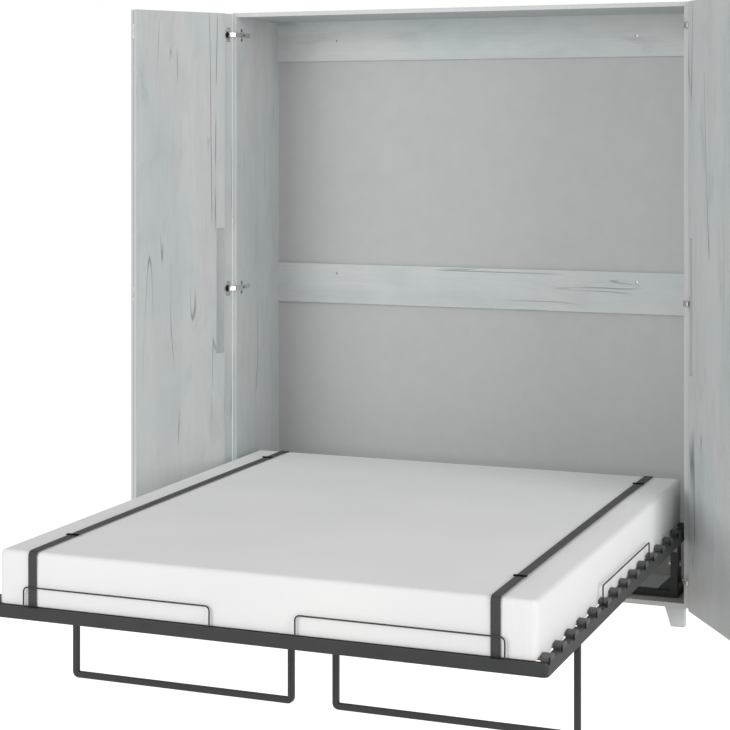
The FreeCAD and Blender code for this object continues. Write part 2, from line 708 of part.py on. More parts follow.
def drill_z(name, x, y):
    """The hole in a rail that takes a mattress holder's wire."""
    made = doc.addObject("Part::Cylinder", name)
    bind(made, Radius="dim.wire_r", Height="20")
    return put(made, x, y, "dim.rail_high - dim.wire_sunk")


def foot_wire_drills():
    """The four holes in the foot rail."""
    return [
        drill_z(f"foot_wire_drill_{side}_{i}", f"{sign} * {x}", "-(dim.foot_reach - dim.wire_inset)")
        for side, sign in SIDES
        for i, x in enumerate(("dim.foot_wire_in", "dim.foot_wire_out"))
    ]


def boards_of_row(boards, i):
    """The left and right slat of one row."""
    return [boards[i], boards[i + len(boards) // 2]]


# A slat cap's outline, as shares of its half length and half height.
OCTAGON = ((-1, -0.45), (-0.45, -1), (0.45, -1), (1, -0.45), (1, 0.45), (0.45, 1), (-0.45, 1), (-1, 0.45))
# A slat holder's outline, as shares of its length and height.
HUMP = ((0, 0), (1, 0), (0.97, 0.45), (0.84, 0.85), (0.64, 1), (0.36, 1), (0.16, 0.85), (0.03, 0.45))


def slats():
    """Rows of slats in pairs, with holders on the side rails, caps outside them and rests on the centre beam."""
    rows = [(i, slat_y(i, "8")) for i in range(int(number("dim.slat_count")))]
    slat_z = ("dim.rail_high + 1", "dim.rail_high + 1 + dim.slat_thick")
    hump = [(f"{a} * dim.holder_long", f"{b} * dim.holder_high") for a, b in HUMP]
    octagon = [(f"{a} * dim.cap_half", f"{b} * dim.cap_tall") for a, b in OCTAGON]
    side_sets = {}
    boards = []
    for side, sign in SIDES:
        holders, caps = [], []
        holder_x = span(sign, "dim.bed_half - dim.holder_wide", "dim.bed_half")[0]
        cap_x = span(sign, "dim.bed_half", "dim.bed_half + dim.cap_thick")[0]
        for i, start in rows:
            y = (f"{start} + 2", f"{start} + 2 + dim.slat_wide")
            slat = box(f"slat_{side}_{i}", span(sign, "4", "dim.bed_half - dim.slat_end"), y, slat_z)
            boards.append(slat)
            block = plate(f"holder_{side}_{i}", "YZ_Plane", hump, "dim.holder_wide")
            put(block, holder_x, start, "dim.rail_high")
            holders.append(cut(f"holder_slotted_{side}_{i}", block, slat))
            cap = plate(f"cap_{side}_{i}", "YZ_Plane", octagon, "dim.cap_thick")
            caps.append(put(cap, cap_x, slat_y(i), "dim.rail_high + 5"))
        side_sets[side] = holders, caps
    node("slats", group("slat_set", boards))
    for side, (holders, caps) in side_sets.items():
        node(f"slat_holders_{side}", group(f"holder_set_{side}", holders))
        node(f"slat_caps_{side}", group(f"cap_row_{side}", caps))
    rests = []
    for i, start in rows:
        y = (f"{start} - 2", f"{start} + 6 + dim.slat_wide")
        block = box(f"rest_{i}", ("-14", "14"), y, ("dim.rail_high", "dim.rail_high + 9"))
        rests.append(cut(f"rest_slotted_{i}", block, *boards_of_row(boards, i)))
    node("slat_rests_centre", group("rest_set", rests))


def pivot_plates():
    """Plates on the side rails that carry the bed on the pivot bolts and take the gas springs' push."""
    for side, sign in SIDES:
        outline = [
            ("-24.5", "dim.rail_high - 7 - dim.pivot_z"),
            ("29.5", "dim.rail_high - 7 - dim.pivot_z"),
            ("33.5", "-58"),
            ("25.5", "-72"),
            ("11.5", "-72"),
            ("-24.5", "-12"),
        ]
        body = plate(f"pivot_plate_body_{side}", "YZ_Plane", outline, "dim.plate")
        bore = sketch_on(body, "YZ_Plane", f"pivot_bore_{side}")
        circle(bore, "0", "0", "dim.pivot_r + dim.slack")
        pocket(body, bore, "dim.plate")
        low = span(sign, "dim.stand_half + 0.5", "dim.stand_half + 0.5 + dim.plate")[0]
        node(f"pivot_plate_{side}", put(body, low, "dim.pivot_y", "dim.pivot_z"))


# ---------------------------------------------------------------------------------------------- legs


def legs():
    """Two U-shaped legs on hinge pins, with the bracket plates that hold the pins."""
    brackets, pins = [], []
    wide = "dim.leg_out - dim.leg_in - 2 * dim.leg_half"
    for side, sign in SIDES:
        start = "dim.leg_in + dim.leg_half" if sign > 0 else "-(dim.leg_out - dim.leg_half)"
        tube = u_bar(f"leg_bar_{side}", wide, "dim.leg_pivot", "dim.leg_bend", "dim.leg_half", True)
        put(tube, start, "-dim.leg_y", "dim.leg_half")
        bores = []
        for end, near, far in (
            ("inner", "dim.leg_in", "dim.leg_in + 2 * dim.leg_half"),
            ("outer", "dim.leg_out - 2 * dim.leg_half", "dim.leg_out"),
        ):
            name = f"leg_{side}_{end}"
            at = ("-dim.leg_y", "dim.leg_pivot")
            if end == "outer":
                cheek = (f"{near} - 5", f"{near} - 2")
                tip = (f"{near} - 7", f"{far} + 1")
                knob = (f"{near} - 8", f"{near} - 5")
            else:
                cheek = (f"{far} + 2", f"{far} + 5")
                tip = (f"{near} - 1", f"{far} + 7")
                knob = (f"{far} + 5", f"{far} + 8")
            through = span(sign, f"{near} - 1", f"{far} + 1")
            bores.append(rod_x(name + "_bore", "dim.leg_pin_r + dim.slack", through, *at))
            sheet_y = ("-(dim.leg_y + 15)", "-(dim.leg_y - 12)")
            sheet_z = ("dim.leg_pivot - 10", "dim.rail_low + dim.rail_wide")
            cheek_plate = box(name + "_cheek", span(sign, *cheek), sheet_y, sheet_z)
            eye = rod_x(name + "_eye", "dim.leg_pin_r", span(sign, f"{cheek[0]} - 1", f"{cheek[1]} + 1"), *at)
            brackets.append(cut(name + "_bracket", cheek_plate, eye))
            shank = rod_x(name + "_pin_shank", "dim.leg_pin_r", span(sign, *tip), *at)
            head = rod_x(name + "_pin_head", "7", span(sign, *knob), *at)
            pins.append(join(name + "_pin", shank, head))
        node(f"leg_{side}", cut(f"leg_drilled_{side}", tube, *bores))
    node("leg_brackets", group("leg_bracket_set", brackets))
    node("leg_pins", group("leg_pin_set", pins))


# ---------------------------------------------------------------------------------------------- mattress


def mattress_holders():
    """Bent wires plugged into the foot rail and the side rails."""
    tall = "dim.wire_top - dim.rail_high + dim.wire_sunk - dim.wire_r"
    for side, sign in SIDES:
        wide = "dim.foot_wire_out - dim.foot_wire_in"
        wire = u_bar(f"foot_wire_{side}", wide, tall, "dim.wire_bend", "dim.wire_r", False)
        wire.Placement.Rotation = FreeCAD.Rotation(AXIS_Y, 180)
        start = "dim.foot_wire_out" if sign > 0 else "-dim.foot_wire_in"
        put(wire, start, "-(dim.foot_reach - dim.wire_inset)", "dim.wire_top - dim.wire_r")
        node(f"mattress_holder_foot_{side}", wire)
    for side, sign in SIDES:
        wide = "dim.side_wire_near - dim.side_wire_far"
        wire = u_bar(f"side_wire_{side}", wide, tall, "dim.side_wire_bend", "dim.wire_r", False)
        wire.Placement.Rotation = FreeCAD.Rotation(AXIS_Z, 90) * FreeCAD.Rotation(AXIS_Y, 180)
        where = f"{sign} * (dim.bed_half - dim.rail_wide / 2)"
        put(wire, where, "-dim.side_wire_far", "dim.wire_top - dim.wire_r")
        node(f"mattress_holder_side_{side}", wire)


def mattress():
    """The mattress as a plain cushion with rounded edges."""
    y = ("-dim.mattress_foot", "dim.mattress_long - dim.mattress_foot")
    z = ("dim.mattress_low", "dim.mattress_low + dim.mattress_thick")
    block = box("mattress_block", ("-dim.mattress_half", "dim.mattress_half"), y, z)
    doc.recompute()
    made = doc.addObject("Part::Fillet", "mattress_rounded")
    made.Base = block
    radius = number("dim.mattress_round")
    made.Edges = [(i, radius, radius) for i in range(1, len(block.Shape.Edges) + 1)]
    node("mattress", made)


def strap_line(gap, lift):
    """Corner and arc points of a line round the mattress's side view, a gap outside it, from end to end."""
    front = number("dim.front - dim.mattress_foot") - gap
    rear = number("dim.front - dim.mattress_foot + dim.mattress_long") + gap
    top = number("dim.mattress_low + dim.mattress_thick") + gap
    low = number("dim.rail_high + 0.3") + lift
    r = number("dim.mattress_round") + gap
    turn = r * (1 - math.sqrt(0.5))
    points = (
        (number("dim.front - dim.foot_reach + dim.rail_wide"), low),
        (front, low),
        (front, top - r),
        (front + turn, top - turn),
        (front + r, top),
        (rear - r, top),
        (rear - turn, top - turn),
        (rear, top - r),
        (rear, low),
        (number("dim.front + dim.head_y - 10"), low),
    )
    return [FreeCAD.Vector(0, y, z) for y, z in points]


def straps():
    """Webbing over the mattress, tucked in on the foot rail and the head rail, with a slide near each end."""
    thick = number("dim.strap_thick")
    inner = strap_line(0.3, thick)
    outer = strap_line(0.3 + thick, 0)
    edges = []
    for line in (inner, outer):
        edges += [Part.LineSegment(line[i], line[i + 1]).toShape() for i in (0, 1, 4, 7, 8)]
        edges += [Part.Arc(line[i], line[i + 1], line[i + 2]).toShape() for i in (2, 5)]
    edges += [Part.LineSegment(inner[i], outer[i]).toShape() for i in (0, -1)]
    wire = Part.Wire(Part.__sortEdges__(edges))
    for side, sign in SIDES:
        band = doc.addObject("Part::Feature", f"strap_band_{side}")
        band.Shape = Part.Face(wire).extrude(FreeCAD.Vector(number("dim.strap_wide"), 0, 0))
        band.Placement.Base.x = sign * number("dim.strap_x") - number("dim.strap_wide") / 2
        node(f"strap_{side}", band)
    buckles = []
    top = "dim.mattress_low + dim.mattress_thick + 0.3 + dim.strap_thick"
    for side, sign in SIDES:
        for end, y in (("near", "-dim.buckle_near"), ("far", "-dim.buckle_far")):
            name = f"buckle_{side}_{end}"
            x = span(sign, "dim.strap_x - dim.buckle_half", "dim.strap_x + dim.buckle_half")
            long = (f"{y} - dim.buckle_reach", f"{y} + dim.buckle_reach")
            frame = box(name + "_frame", x, long, (f"{top} + 0.3", f"{top} + 4"))
            slots = [
                box(
                    f"{name}_slot_{i}",
                    span(sign, "dim.strap_x - 15", "dim.strap_x + 15"),
                    (f"{y} + {low}", f"{y} + {low + 4.5}"),
                    (top, f"{top} + 5"),
                )
                for i, low in enumerate((-6.5, 2))
            ]
            buckles.append(cut(name, frame, *slots))
    node("strap_buckles", group("buckle_set", buckles))


# ---------------------------------------------------------------------------------------------- gas springs


def spring_part(name, start, end, radius, inner=None):
    """A cylinder on a gas spring's own axis, between two distances from its rear pin, with an optional bore."""
    made = doc.addObject("Part::Cylinder", name)
    bind(made, Radius=radius, Height=f"({end})-({start})")
    if inner is not None:
        bore = doc.addObject("Part::Cylinder", name + "_bore")
        bind(bore, Radius=inner[1], Height=f"({end})-({inner[0]}) + 1")
        bore.setExpression(".Placement.Base.z", f"({inner[0]})-({start})")
        made = cut(name + "_hollow", made, bore)
    return made


def spring_place(thing, sign, start):
    """Lays a piece made along Z on the gas spring's axis."""
    along = FreeCAD.Vector(
        0,
        number("dim.spring_front_y - dim.spring_back_y"),
        number("dim.spring_front_z - dim.spring_back_z"),
    )
    direction = along / along.Length
    thing.Placement.Rotation = FreeCAD.Rotation(AXIS_Z, direction)
    y = f"dim.spring_back_y + {direction.y:.9f} * ({start})"
    z = f"dim.spring_back_z + {direction.z:.9f} * ({start})"
    return put(thing, f"{sign} * dim.spring_x", y, z)


def gas_springs():
    """A cylinder on the rear pin and a rod whose end stands beside the pivot plate."""
    reach = "sqrt((dim.spring_back_y - dim.spring_front_y)^2 + (dim.spring_front_z - dim.spring_back_z)^2)"
    for side, sign in SIDES:
        bore = ("30", "dim.rod_r + 0.1")
        tube = spring_part(f"cylinder_{side}", "8", "dim.cylinder_long", "dim.cylinder_r", bore)
        spring_place(tube, sign, "8")
        eye_x = span(sign, "dim.spring_x - 5.5", "dim.spring_x + 5.5")
        eye = rod_x(f"cylinder_eye_{side}", "9", eye_x, "dim.spring_back_y", "dim.spring_back_z")
        pin_x = span(sign, "dim.spring_x - 12", "dim.spring_x + 12")
        pin = rod_x(f"cylinder_pin_hole_{side}", "4 + dim.slack", pin_x, "dim.spring_back_y", "dim.spring_back_z")
        whole = join(f"cylinder_body_{side}", tube, eye)
        node(f"gas_spring_cylinder_{side}", cut(f"cylinder_done_{side}", whole, pin))
        rod = spring_place(spring_part(f"rod_{side}", "40", f"{reach} - 4", "dim.rod_r"), sign, "40")
        ball = rod_x(f"rod_end_{side}", "8", eye_x, "dim.spring_front_y", "dim.spring_front_z")
        stud = rod_x(
            f"rod_stud_{side}",
            "4",
            span(sign, "dim.stand_half + dim.plate + 1.2", "dim.spring_x"),
            "dim.spring_front_y",
            "dim.spring_front_z",
        )
        node(f"gas_spring_rod_{side}", join(f"rod_body_{side}", rod, ball, stud))


# ---------------------------------------------------------------------------------------------- build


cabinet()
for door_side, door_sign in SIDES:
    inner_leaf(door_side, door_sign)
    outer_leaf(door_side, door_sign)
    hinge_cups(door_side, door_sign)
    fold_hinges(door_side, door_sign)
    hinge_arms(door_side, door_sign)
stand()
bed_frame()
slats()
pivot_plates()
legs()
mattress_holders()
mattress()
straps()
gas_springs()
doc.recompute()

for thing in doc.Objects:
    if {"Invalid", "Error"} & set(thing.State):
        raise RuntimeError(f"{thing.Label} failed: {thing.State}")
os.makedirs("parts", exist_ok=True)
for name, thing in NODES.items():
    if thing.Shape.isNull() or not thing.Shape.isValid():
        raise RuntimeError(f"{name} has no valid shape")
    thing.Shape.exportStep(f"parts/{name}.step")
print(len(NODES), "nodes,", sum(len(thing.Shape.Solids) for thing in NODES.values()), "solids")
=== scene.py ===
# %% [markdown]
# # A vertical wall bed
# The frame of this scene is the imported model: a floor-standing cabinet with bi-fold doors, and a steel bed that
# swings down from it. Every place in the script is read from that frame, in metres, so a new piece needs no fitting.

import json
import math

import bmesh
import bpy
from mathutils import Matrix, Vector


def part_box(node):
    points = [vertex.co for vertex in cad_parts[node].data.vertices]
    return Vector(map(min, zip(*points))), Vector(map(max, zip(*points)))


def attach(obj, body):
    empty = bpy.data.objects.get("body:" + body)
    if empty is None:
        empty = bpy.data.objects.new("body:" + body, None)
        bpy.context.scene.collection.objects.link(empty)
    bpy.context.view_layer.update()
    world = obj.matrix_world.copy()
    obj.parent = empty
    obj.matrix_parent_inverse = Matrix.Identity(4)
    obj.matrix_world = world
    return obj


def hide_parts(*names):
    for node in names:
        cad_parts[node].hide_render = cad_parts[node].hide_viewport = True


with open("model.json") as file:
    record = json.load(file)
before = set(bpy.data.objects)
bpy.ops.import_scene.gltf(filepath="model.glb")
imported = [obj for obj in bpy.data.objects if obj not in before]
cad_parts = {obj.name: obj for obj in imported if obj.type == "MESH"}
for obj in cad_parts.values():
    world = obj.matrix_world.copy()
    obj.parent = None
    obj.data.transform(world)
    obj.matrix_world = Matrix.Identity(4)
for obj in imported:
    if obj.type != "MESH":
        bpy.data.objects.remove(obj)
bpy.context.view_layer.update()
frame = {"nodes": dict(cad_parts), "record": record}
nodes = frame["nodes"]
mirror = {"left": -1, "right": 1}

# %% [markdown]
# ## Small tools for finishes
# A finish is a shader tree, and most trees repeat the same few steps: read the object's own coordinates, stretch
# them along a grain, take a noise and turn it into a colour or a height. A short function for each step lets the
# finishes below read like recipes. The coordinates are the object's own, so a pattern stays on its piece as it moves.

# %% Functions that add nodes to a finish


def finish(name, colour, roughness, **sockets):
    """A new material. Values that are the same all over go straight on the shader's sockets."""
    made = bpy.data.materials.new(name)
    made.use_nodes = True
    shader = made.node_tree.nodes["Principled BSDF"]
    shader.inputs["Base Color"].default_value = (*colour, 1)
    shader.inputs["Roughness"].default_value = roughness
    for key, value in sockets.items():
        shader.inputs[key.replace("_", " ")].default_value = value
    return made


def add(material, kind, values=None, **settings):
    """A new node, with its inputs set or linked."""
    made = material.node_tree.nodes.new("ShaderNode" + kind)
    for key, value in settings.items():
        setattr(made, key, value)
    for key, value in (values or {}).items():
        if isinstance(value, bpy.types.NodeSocket):
            material.node_tree.links.new(value, made.inputs[key])
        else:
            made.inputs[key].default_value = value
    return made


def coordinates(material, stretch=(1, 1, 1), turn=(0, 0, 0), shift=(0, 0, 0), source="Object"):
    """The piece's own coordinates, stretched."""
    place = add(material, "TexCoord").outputs[source]
    values = {"Vector": place, "Scale": stretch, "Rotation": turn, "Location": shift}
    return add(material, "Mapping", values).outputs["Vector"]


def noise(material, vector, scale, detail=2.0, roughness=0.5, distortion=0.0):
    """Soft noise from 0 to 1."""
    values = {"Vector": vector, "Scale": scale, "Detail": detail, "Roughness": roughness, "Distortion": distortion}
    return add(material, "TexNoise", values).outputs["Fac"]


def ramp(material, factor, *stops):
    """Colours or greys set along a factor."""
    made = add(material, "ValToRGB", {"Fac": factor})
    while len(made.color_ramp.elements) < len(stops):
        made.color_ramp.elements.new(0.5)
    for element, (place, colour) in zip(made.color_ramp.elements, stops):
        element.position = place
        element.color = (*colour, 1) if isinstance(colour, tuple) else (colour, colour, colour, 1)
    return made.outputs["Color"]


def mix(material, factor, first, second, kind="MIX"):
    """Two colours mixed."""
    made = add(material, "Mix", data_type="RGBA", blend_type=kind)
    for socket, value in ((made.inputs[0], factor), (made.inputs[6], first), (made.inputs[7], second)):
        if isinstance(value, bpy.types.NodeSocket):
            material.node_tree.links.new(value, socket)
        else:
            socket.default_value = (*value, 1) if isinstance(value, tuple) else value
    return made.outputs[2]


def sums(material, operation, first, second=0.0):
    """Arithmetic on two values."""
    return add(material, "Math", {0: first, 1: second}, operation=operation).outputs[0]


def layered(material, *parts):
    """The sum of several values, each with its weight."""
    total = sums(material, "MULTIPLY", *parts[0])
    for value, weight in parts[1:]:
        total = sums(material, "ADD", total, sums(material, "MULTIPLY", value, weight))
    return total


def dress(material, colour=None, roughness=None, height=None, depth=0.001, strength=0.5):
    """Links a colour, a roughness and a height to the material's shader."""
    shader = material.node_tree.nodes["Principled BSDF"]
    links = material.node_tree.links
    if colour is not None:
        links.new(colour, shader.inputs["Base Color"])
    if roughness is not None:
        links.new(roughness, shader.inputs["Roughness"])
    if height is not None:
        bump = add(material, "Bump", {"Height": height, "Distance": depth, "Strength": strength})
        links.new(bump.outputs["Normal"], shader.inputs["Normal"])
    return material


# %% [markdown]
# ## Oak decor
# The boards are chipboard under a printed film: bleached craft oak, almost white, with cool and warm patches, fine
# grain, a few dark knots and thin open cracks. The print runs up every standing board, and along the two back rails.
# Noise stretched a long way in one direction makes the grain. Where a stretched noise crosses its middle value it
# draws a thin wandering line, and a second noise leaves only a few pieces of each line, which read as cracks.

# %% Oak decor for boards whose grain stands or runs across


def oak_decor(name, along, shift, gain=1.0):
    """Bleached oak print with its grain along axis 0, 1 or 2, made lighter by a gain, which is painted light."""
    made = finish(name, (0.55, 0.57, 0.57), 0.45, Specular_IOR_Level=0.35)

    def stretched(amount, aside=(0, 0, 0)):
        scale = [1.0, 1.0, 1.0]
        scale[along] = amount
        return coordinates(made, tuple(scale), shift=tuple(a + b for a, b in zip(shift, aside)))

    patches = noise(made, stretched(0.45), 4.2, 3, 0.55, 0.3)
    tones = ((0.520, 0.564, 0.564), (0.542, 0.577, 0.575), (0.562, 0.584, 0.580), (0.558, 0.573, 0.567))
    stops = [(place, tuple(gain * c for c in tone)) for place, tone in zip((0.33, 0.46, 0.56, 0.68), tones)]
    colour = ramp(made, patches, *stops)
    staves = noise(made, stretched(0.03), 9, 1, 0.4)
    colour = mix(made, 1.0, colour, ramp(made, staves, (0.40, 0.965), (0.47, 1.0), (0.60, 1.015)), "MULTIPLY")
    cloud = noise(made, stretched(0.5), 13, 4, 0.6, 0.6)
    colour = mix(made, 1.0, colour, ramp(made, cloud, (0.32, 0.95), (0.50, 1.0), (0.7, 1.02)), "MULTIPLY")
    grain = noise(made, stretched(0.025), 170, 3, 0.6, 0.2)
    colour = mix(made, 1.0, colour, ramp(made, grain, (0.32, 0.955), (0.55, 1.0), (0.8, 1.01)), "MULTIPLY")
    smudge = ramp(made, noise(made, stretched(0.28, (3, 1, 2)), 8, 4, 0.6, 0.5), (0.60, 0.0), (0.74, 0.22))

    def cracks(scale, length, aside, low, width):
        """Thin dark lines along the grain, of which a second noise leaves a few pieces."""
        line = noise(made, stretched(length, aside), scale, 1.0, 0.4, 0.1)
        thin = sums(made, "ABSOLUTE", sums(made, "SUBTRACT", line, 0.5))
        mask = ramp(made, thin, (0.0, 1.0), (0.45 * width, 0.85), (width, 0.0))
        where = noise(made, stretched(0.42, aside), 4.6, 1, 0.5)
        return sums(made, "MULTIPLY", mask, ramp(made, where, (low, 0.0), (low + 0.05, 1.0)))

    long_cracks = cracks(6.5, 0.045, (0.4, 0.9, 0.1), 0.565, 0.0055)
    short_cracks = cracks(15.0, 0.08, (2.1, 1.3, 0.7), 0.60, 0.0100)
    crack = sums(made, "MAXIMUM", long_cracks, sums(made, "MULTIPLY", short_cracks, 0.75))

    cells = add(made, "TexVoronoi", {"Vector": stretched(0.6, (0.3, 0.2, 0.5)), "Scale": 4.6, "Randomness": 1.0})
    wobble = noise(made, stretched(0.6), 45, 3, 0.6)
    reach = sums(made, "ADD", cells.outputs["Distance"], sums(made, "MULTIPLY", wobble, 0.07))
    chosen = add(made, "SeparateColor", {"Color": cells.outputs["Color"]}).outputs[0]
    chosen = ramp(made, chosen, (0.62, 0.0), (0.66, 1.0))
    knot = ramp(made, reach, (0.040, 1.0), (0.062, 0.5), (0.10, 0.16), (0.17, 0.0))
    knot = sums(made, "MULTIPLY", knot, chosen)
    dark = sums(made, "MAXIMUM", sums(made, "MULTIPLY", crack, 0.90), sums(made, "MULTIPLY", knot, 0.65))
    dark = sums(made, "MAXIMUM", dark, smudge)
    colour = mix(made, dark, colour, (0.15, 0.17, 0.175))

    height = sums(made, "SUBTRACT", sums(made, "MULTIPLY", grain, 0.3), dark)
    return dress(made, colour, ramp(made, grain, (0.3, 0.50), (0.7, 0.40)), height, 0.0003, 0.3)


# The back rails take the same print made 8 % lighter, as painted light.
decor_rails_painted_lighter = oak_decor("oak_decor_across", 0, (0.6, 0.3, 0.15), 1.08)
print("oak decor along the rails")

# %% [markdown]
# ## Edge band
# The boards' narrow faces carry a thin plastic band of a plainer, lighter print. It's the same finish with less
# contrast, and it reaches the narrow faces only: the shader compares the surface's own direction with the axis.

# %% Edge band mixed in by direction


def leaning(made, axis):
    """How far a surface looks along an axis, on the left or the right of the piece alike."""
    normal = add(made, "TexCoord").outputs["Normal"]
    either_side = add(made, "VectorMath", {0: normal}, operation="ABSOLUTE").outputs["Vector"]
    return add(made, "VectorMath", {0: either_side, 1: axis}, operation="DOT_PRODUCT").outputs["Value"]


def banded(name, along, shift, axis, band=(0.62, 0.64, 0.638)):
    """The decor with a lighter band on the faces that look along an axis."""
    made = oak_decor(name, along, shift)
    tree = made.node_tree
    shader = tree.nodes["Principled BSDF"]
    mask = ramp(made, leaning(made, axis), (0.93, 0.0), (0.97, 1.0))
    below = shader.inputs["Base Color"].links[0].from_socket
    streak = noise(made, coordinates(made, (1, 1, 0.03)), 220, 3, 0.6)
    edge = mix(made, ramp(made, streak, (0.3, 0.0), (0.7, 1.0)), tuple(0.93 * c for c in band), band)
    tree.links.new(mix(made, mask, below, edge), shader.inputs["Base Color"])
    return made


open_door = math.radians(120)
along_leaf = (abs(math.cos(open_door)), math.sin(open_door), 0)
across_leaf = (math.sin(open_door), abs(math.cos(open_door)), 0)
decor_cabinet = banded("oak_decor_cabinet", 2, (0.37, 0.11, 0.2), (0, 1, 0))
decor_panels = banded("oak_decor_panels", 0, (1.2, 0.4, 0.3), (0, 1, 0))
decor_leaf = banded("oak_decor_leaf", 2, (0.37, 0.11, 0.2), along_leaf)
decor_grip = banded("oak_decor_grip", 2, (3.1, 1.7, 0.9), along_leaf)
print("edge bands on the cabinet's panels and the doors' leaves")

# %% [markdown]
# The outer leaves have a grip milled into their face. Its floor leans a few degrees from the leaf's face, and the
# shader finds it by that lean and paints the recess's shade into the decor as a darker grey.

# %% Painted shade in the milled grip
# Painted shade: where a face leans like the cove's floor, the decor is darkened to 78 %, standing in for the shade in
# the recess.
lean = leaning(decor_grip, across_leaf)
milled = ramp(decor_grip, lean, (0.90, 0.0), (0.95, 1.0), (0.9945, 1.0), (0.9985, 0.0))
film = decor_grip.node_tree.nodes["Principled BSDF"].inputs["Base Color"]
grip_painted_shade = mix(decor_grip, 1.0, film.links[0].from_socket, (0.78, 0.78, 0.785), "MULTIPLY")
decor_grip.node_tree.links.new(mix(decor_grip, milled, film.links[0].from_socket, grip_painted_shade), film)
print("milled grip")

# %% [markdown]
# ## Back board, plastics and rubber
# The back is thin hardboard with a grey lacquer, which shows the faint mottle of the fibres under it. The feet,
# slat holders and caps are moulded plastic with a fine spark-eroded texture that breaks up the highlights.

# %% Lacquered hardboard and moulded plastics
back_board = finish("back_board_lacquer", (0.52, 0.525, 0.53), 0.55)
mottle = noise(back_board, coordinates(back_board), 22, 5, 0.65)
fibre = noise(back_board, coordinates(back_board, (1, 1, 0.5)), 900, 2, 0.5)
dress(
    back_board,
    ramp(back_board, mottle, (0.3, (0.500, 0.505, 0.508)), (0.7, (0.520, 0.524, 0.526))),
    ramp(back_board, mottle, (0.3, 0.60), (0.7, 0.50)),
    fibre,
    0.0002,
    0.25,
)


def moulded(name, dark, light, roughness, depth, gloss=0.4):
    """Moulded plastic with a fine spark-eroded skin."""
    made = finish(name, light, roughness, Specular_IOR_Level=gloss)
    cloud = noise(made, coordinates(made), 30, 3, 0.6)
    skin = noise(made, coordinates(made), 1600, 2, 0.6)
    rough = ramp(made, skin, (0.3, roughness - 0.07), (0.7, roughness + 0.07))
    return dress(made, ramp(made, cloud, (0.3, dark), (0.7, light)), rough, skin, depth, 0.35)


foot_plastic = moulded("foot_plastic", (0.60, 0.61, 0.62), (0.64, 0.65, 0.66), 0.45, 0.0003)
holder_plastic = moulded("slat_holder_plastic", (0.100, 0.101, 0.101), (0.125, 0.126, 0.126), 0.6, 0.0003, 0.2)
cap_plastic = moulded("slat_cap_plastic", (0.0020, 0.0021, 0.0021), (0.0035, 0.0036, 0.0036), 0.6, 0.0002, 0.1)
print("plastics and back board")

# %% [markdown]
# ## Metals
# The frame has a graphite powder coat: a fine orange-peel skin, slightly uneven. The hinges are nickel-plated
# pressings with faint draw lines, the screws are zinc, the gas springs are black satin paint with a hard-chromed rod.

# %% Powder coat and bare metals


def powder_coat(name, dark, light, roughness):
    """Powder coat with its orange peel."""
    made = finish(name, light, roughness, Specular_IOR_Level=0.28, Coat_Weight=0.04, Coat_Roughness=0.3)
    cloud = noise(made, coordinates(made), 7, 4, 0.6)
    peel = noise(made, coordinates(made), 420, 2, 0.5)
    speck = noise(made, coordinates(made), 2600, 2, 0.6)
    colour = ramp(made, cloud, (0.3, dark), (0.7, light))
    colour = mix(made, 1.0, colour, ramp(made, speck, (0.3, 0.86), (0.5, 1.0), (0.75, 1.10)), "MULTIPLY")
    rough = ramp(made, cloud, (0.3, roughness - 0.05), (0.7, roughness + 0.06))
    return dress(made, colour, rough, sums(made, "ADD", peel, sums(made, "MULTIPLY", speck, 0.3)), 0.00025, 0.3)


def bare_metal(name, dark, light, roughness, stretch, scale):
    """Plated or drawn metal with faint lines."""
    made = finish(name, light, roughness, Metallic=1.0)
    lines = noise(made, coordinates(made, stretch), scale, 3, 0.6)
    smear = noise(made, coordinates(made), 35, 3, 0.6)
    rough = ramp(made, smear, (0.3, roughness - 0.06), (0.7, roughness + 0.10))
    return dress(made, ramp(made, lines, (0.3, dark), (0.7, light)), rough, lines, 0.00008, 0.25)


frame_steel = powder_coat("graphite_powder_coat", (0.038, 0.039, 0.039), (0.048, 0.049, 0.049), 0.52)
spring_paint = powder_coat("gas_spring_paint", (0.010, 0.010, 0.011), (0.014, 0.014, 0.015), 0.28)
nickel = bare_metal("hinge_nickel", (0.62, 0.61, 0.59), (0.78, 0.77, 0.75), 0.22, (1, 1, 6), 260)
# The cups' inside is the same nickel darkened as painted shade in the recess; the hinge arm screws' heads share this
# dark tone.
dark_nickel_cup_shade_and_screws = bare_metal("hinge_cup_shade_and_screw_heads", (0.06, 0.06, 0.058), (0.12, 0.12, 0.115), 0.34, (1, 1, 6), 260)
zinc = bare_metal("screw_zinc", (0.50, 0.50, 0.49), (0.66, 0.66, 0.65), 0.32, (1, 1, 1), 300)
rod_chrome = bare_metal("gas_spring_rod_chrome", (0.70, 0.70, 0.70), (0.80, 0.80, 0.80), 0.10, (8, 1, 1), 120)
print("powder coat, nickel, zinc and chrome")

# %% [markdown]
# ## Slats
# The slats are glued beech veneer. Their grain runs across the bed, with the short dark flecks that mark beech,
# and their narrow edges show the veneers as thin lines one above the other. Each holder wraps its slat's end in a
# short dark sleeve, so the finish turns dark grey from the holders' inner faces outward.

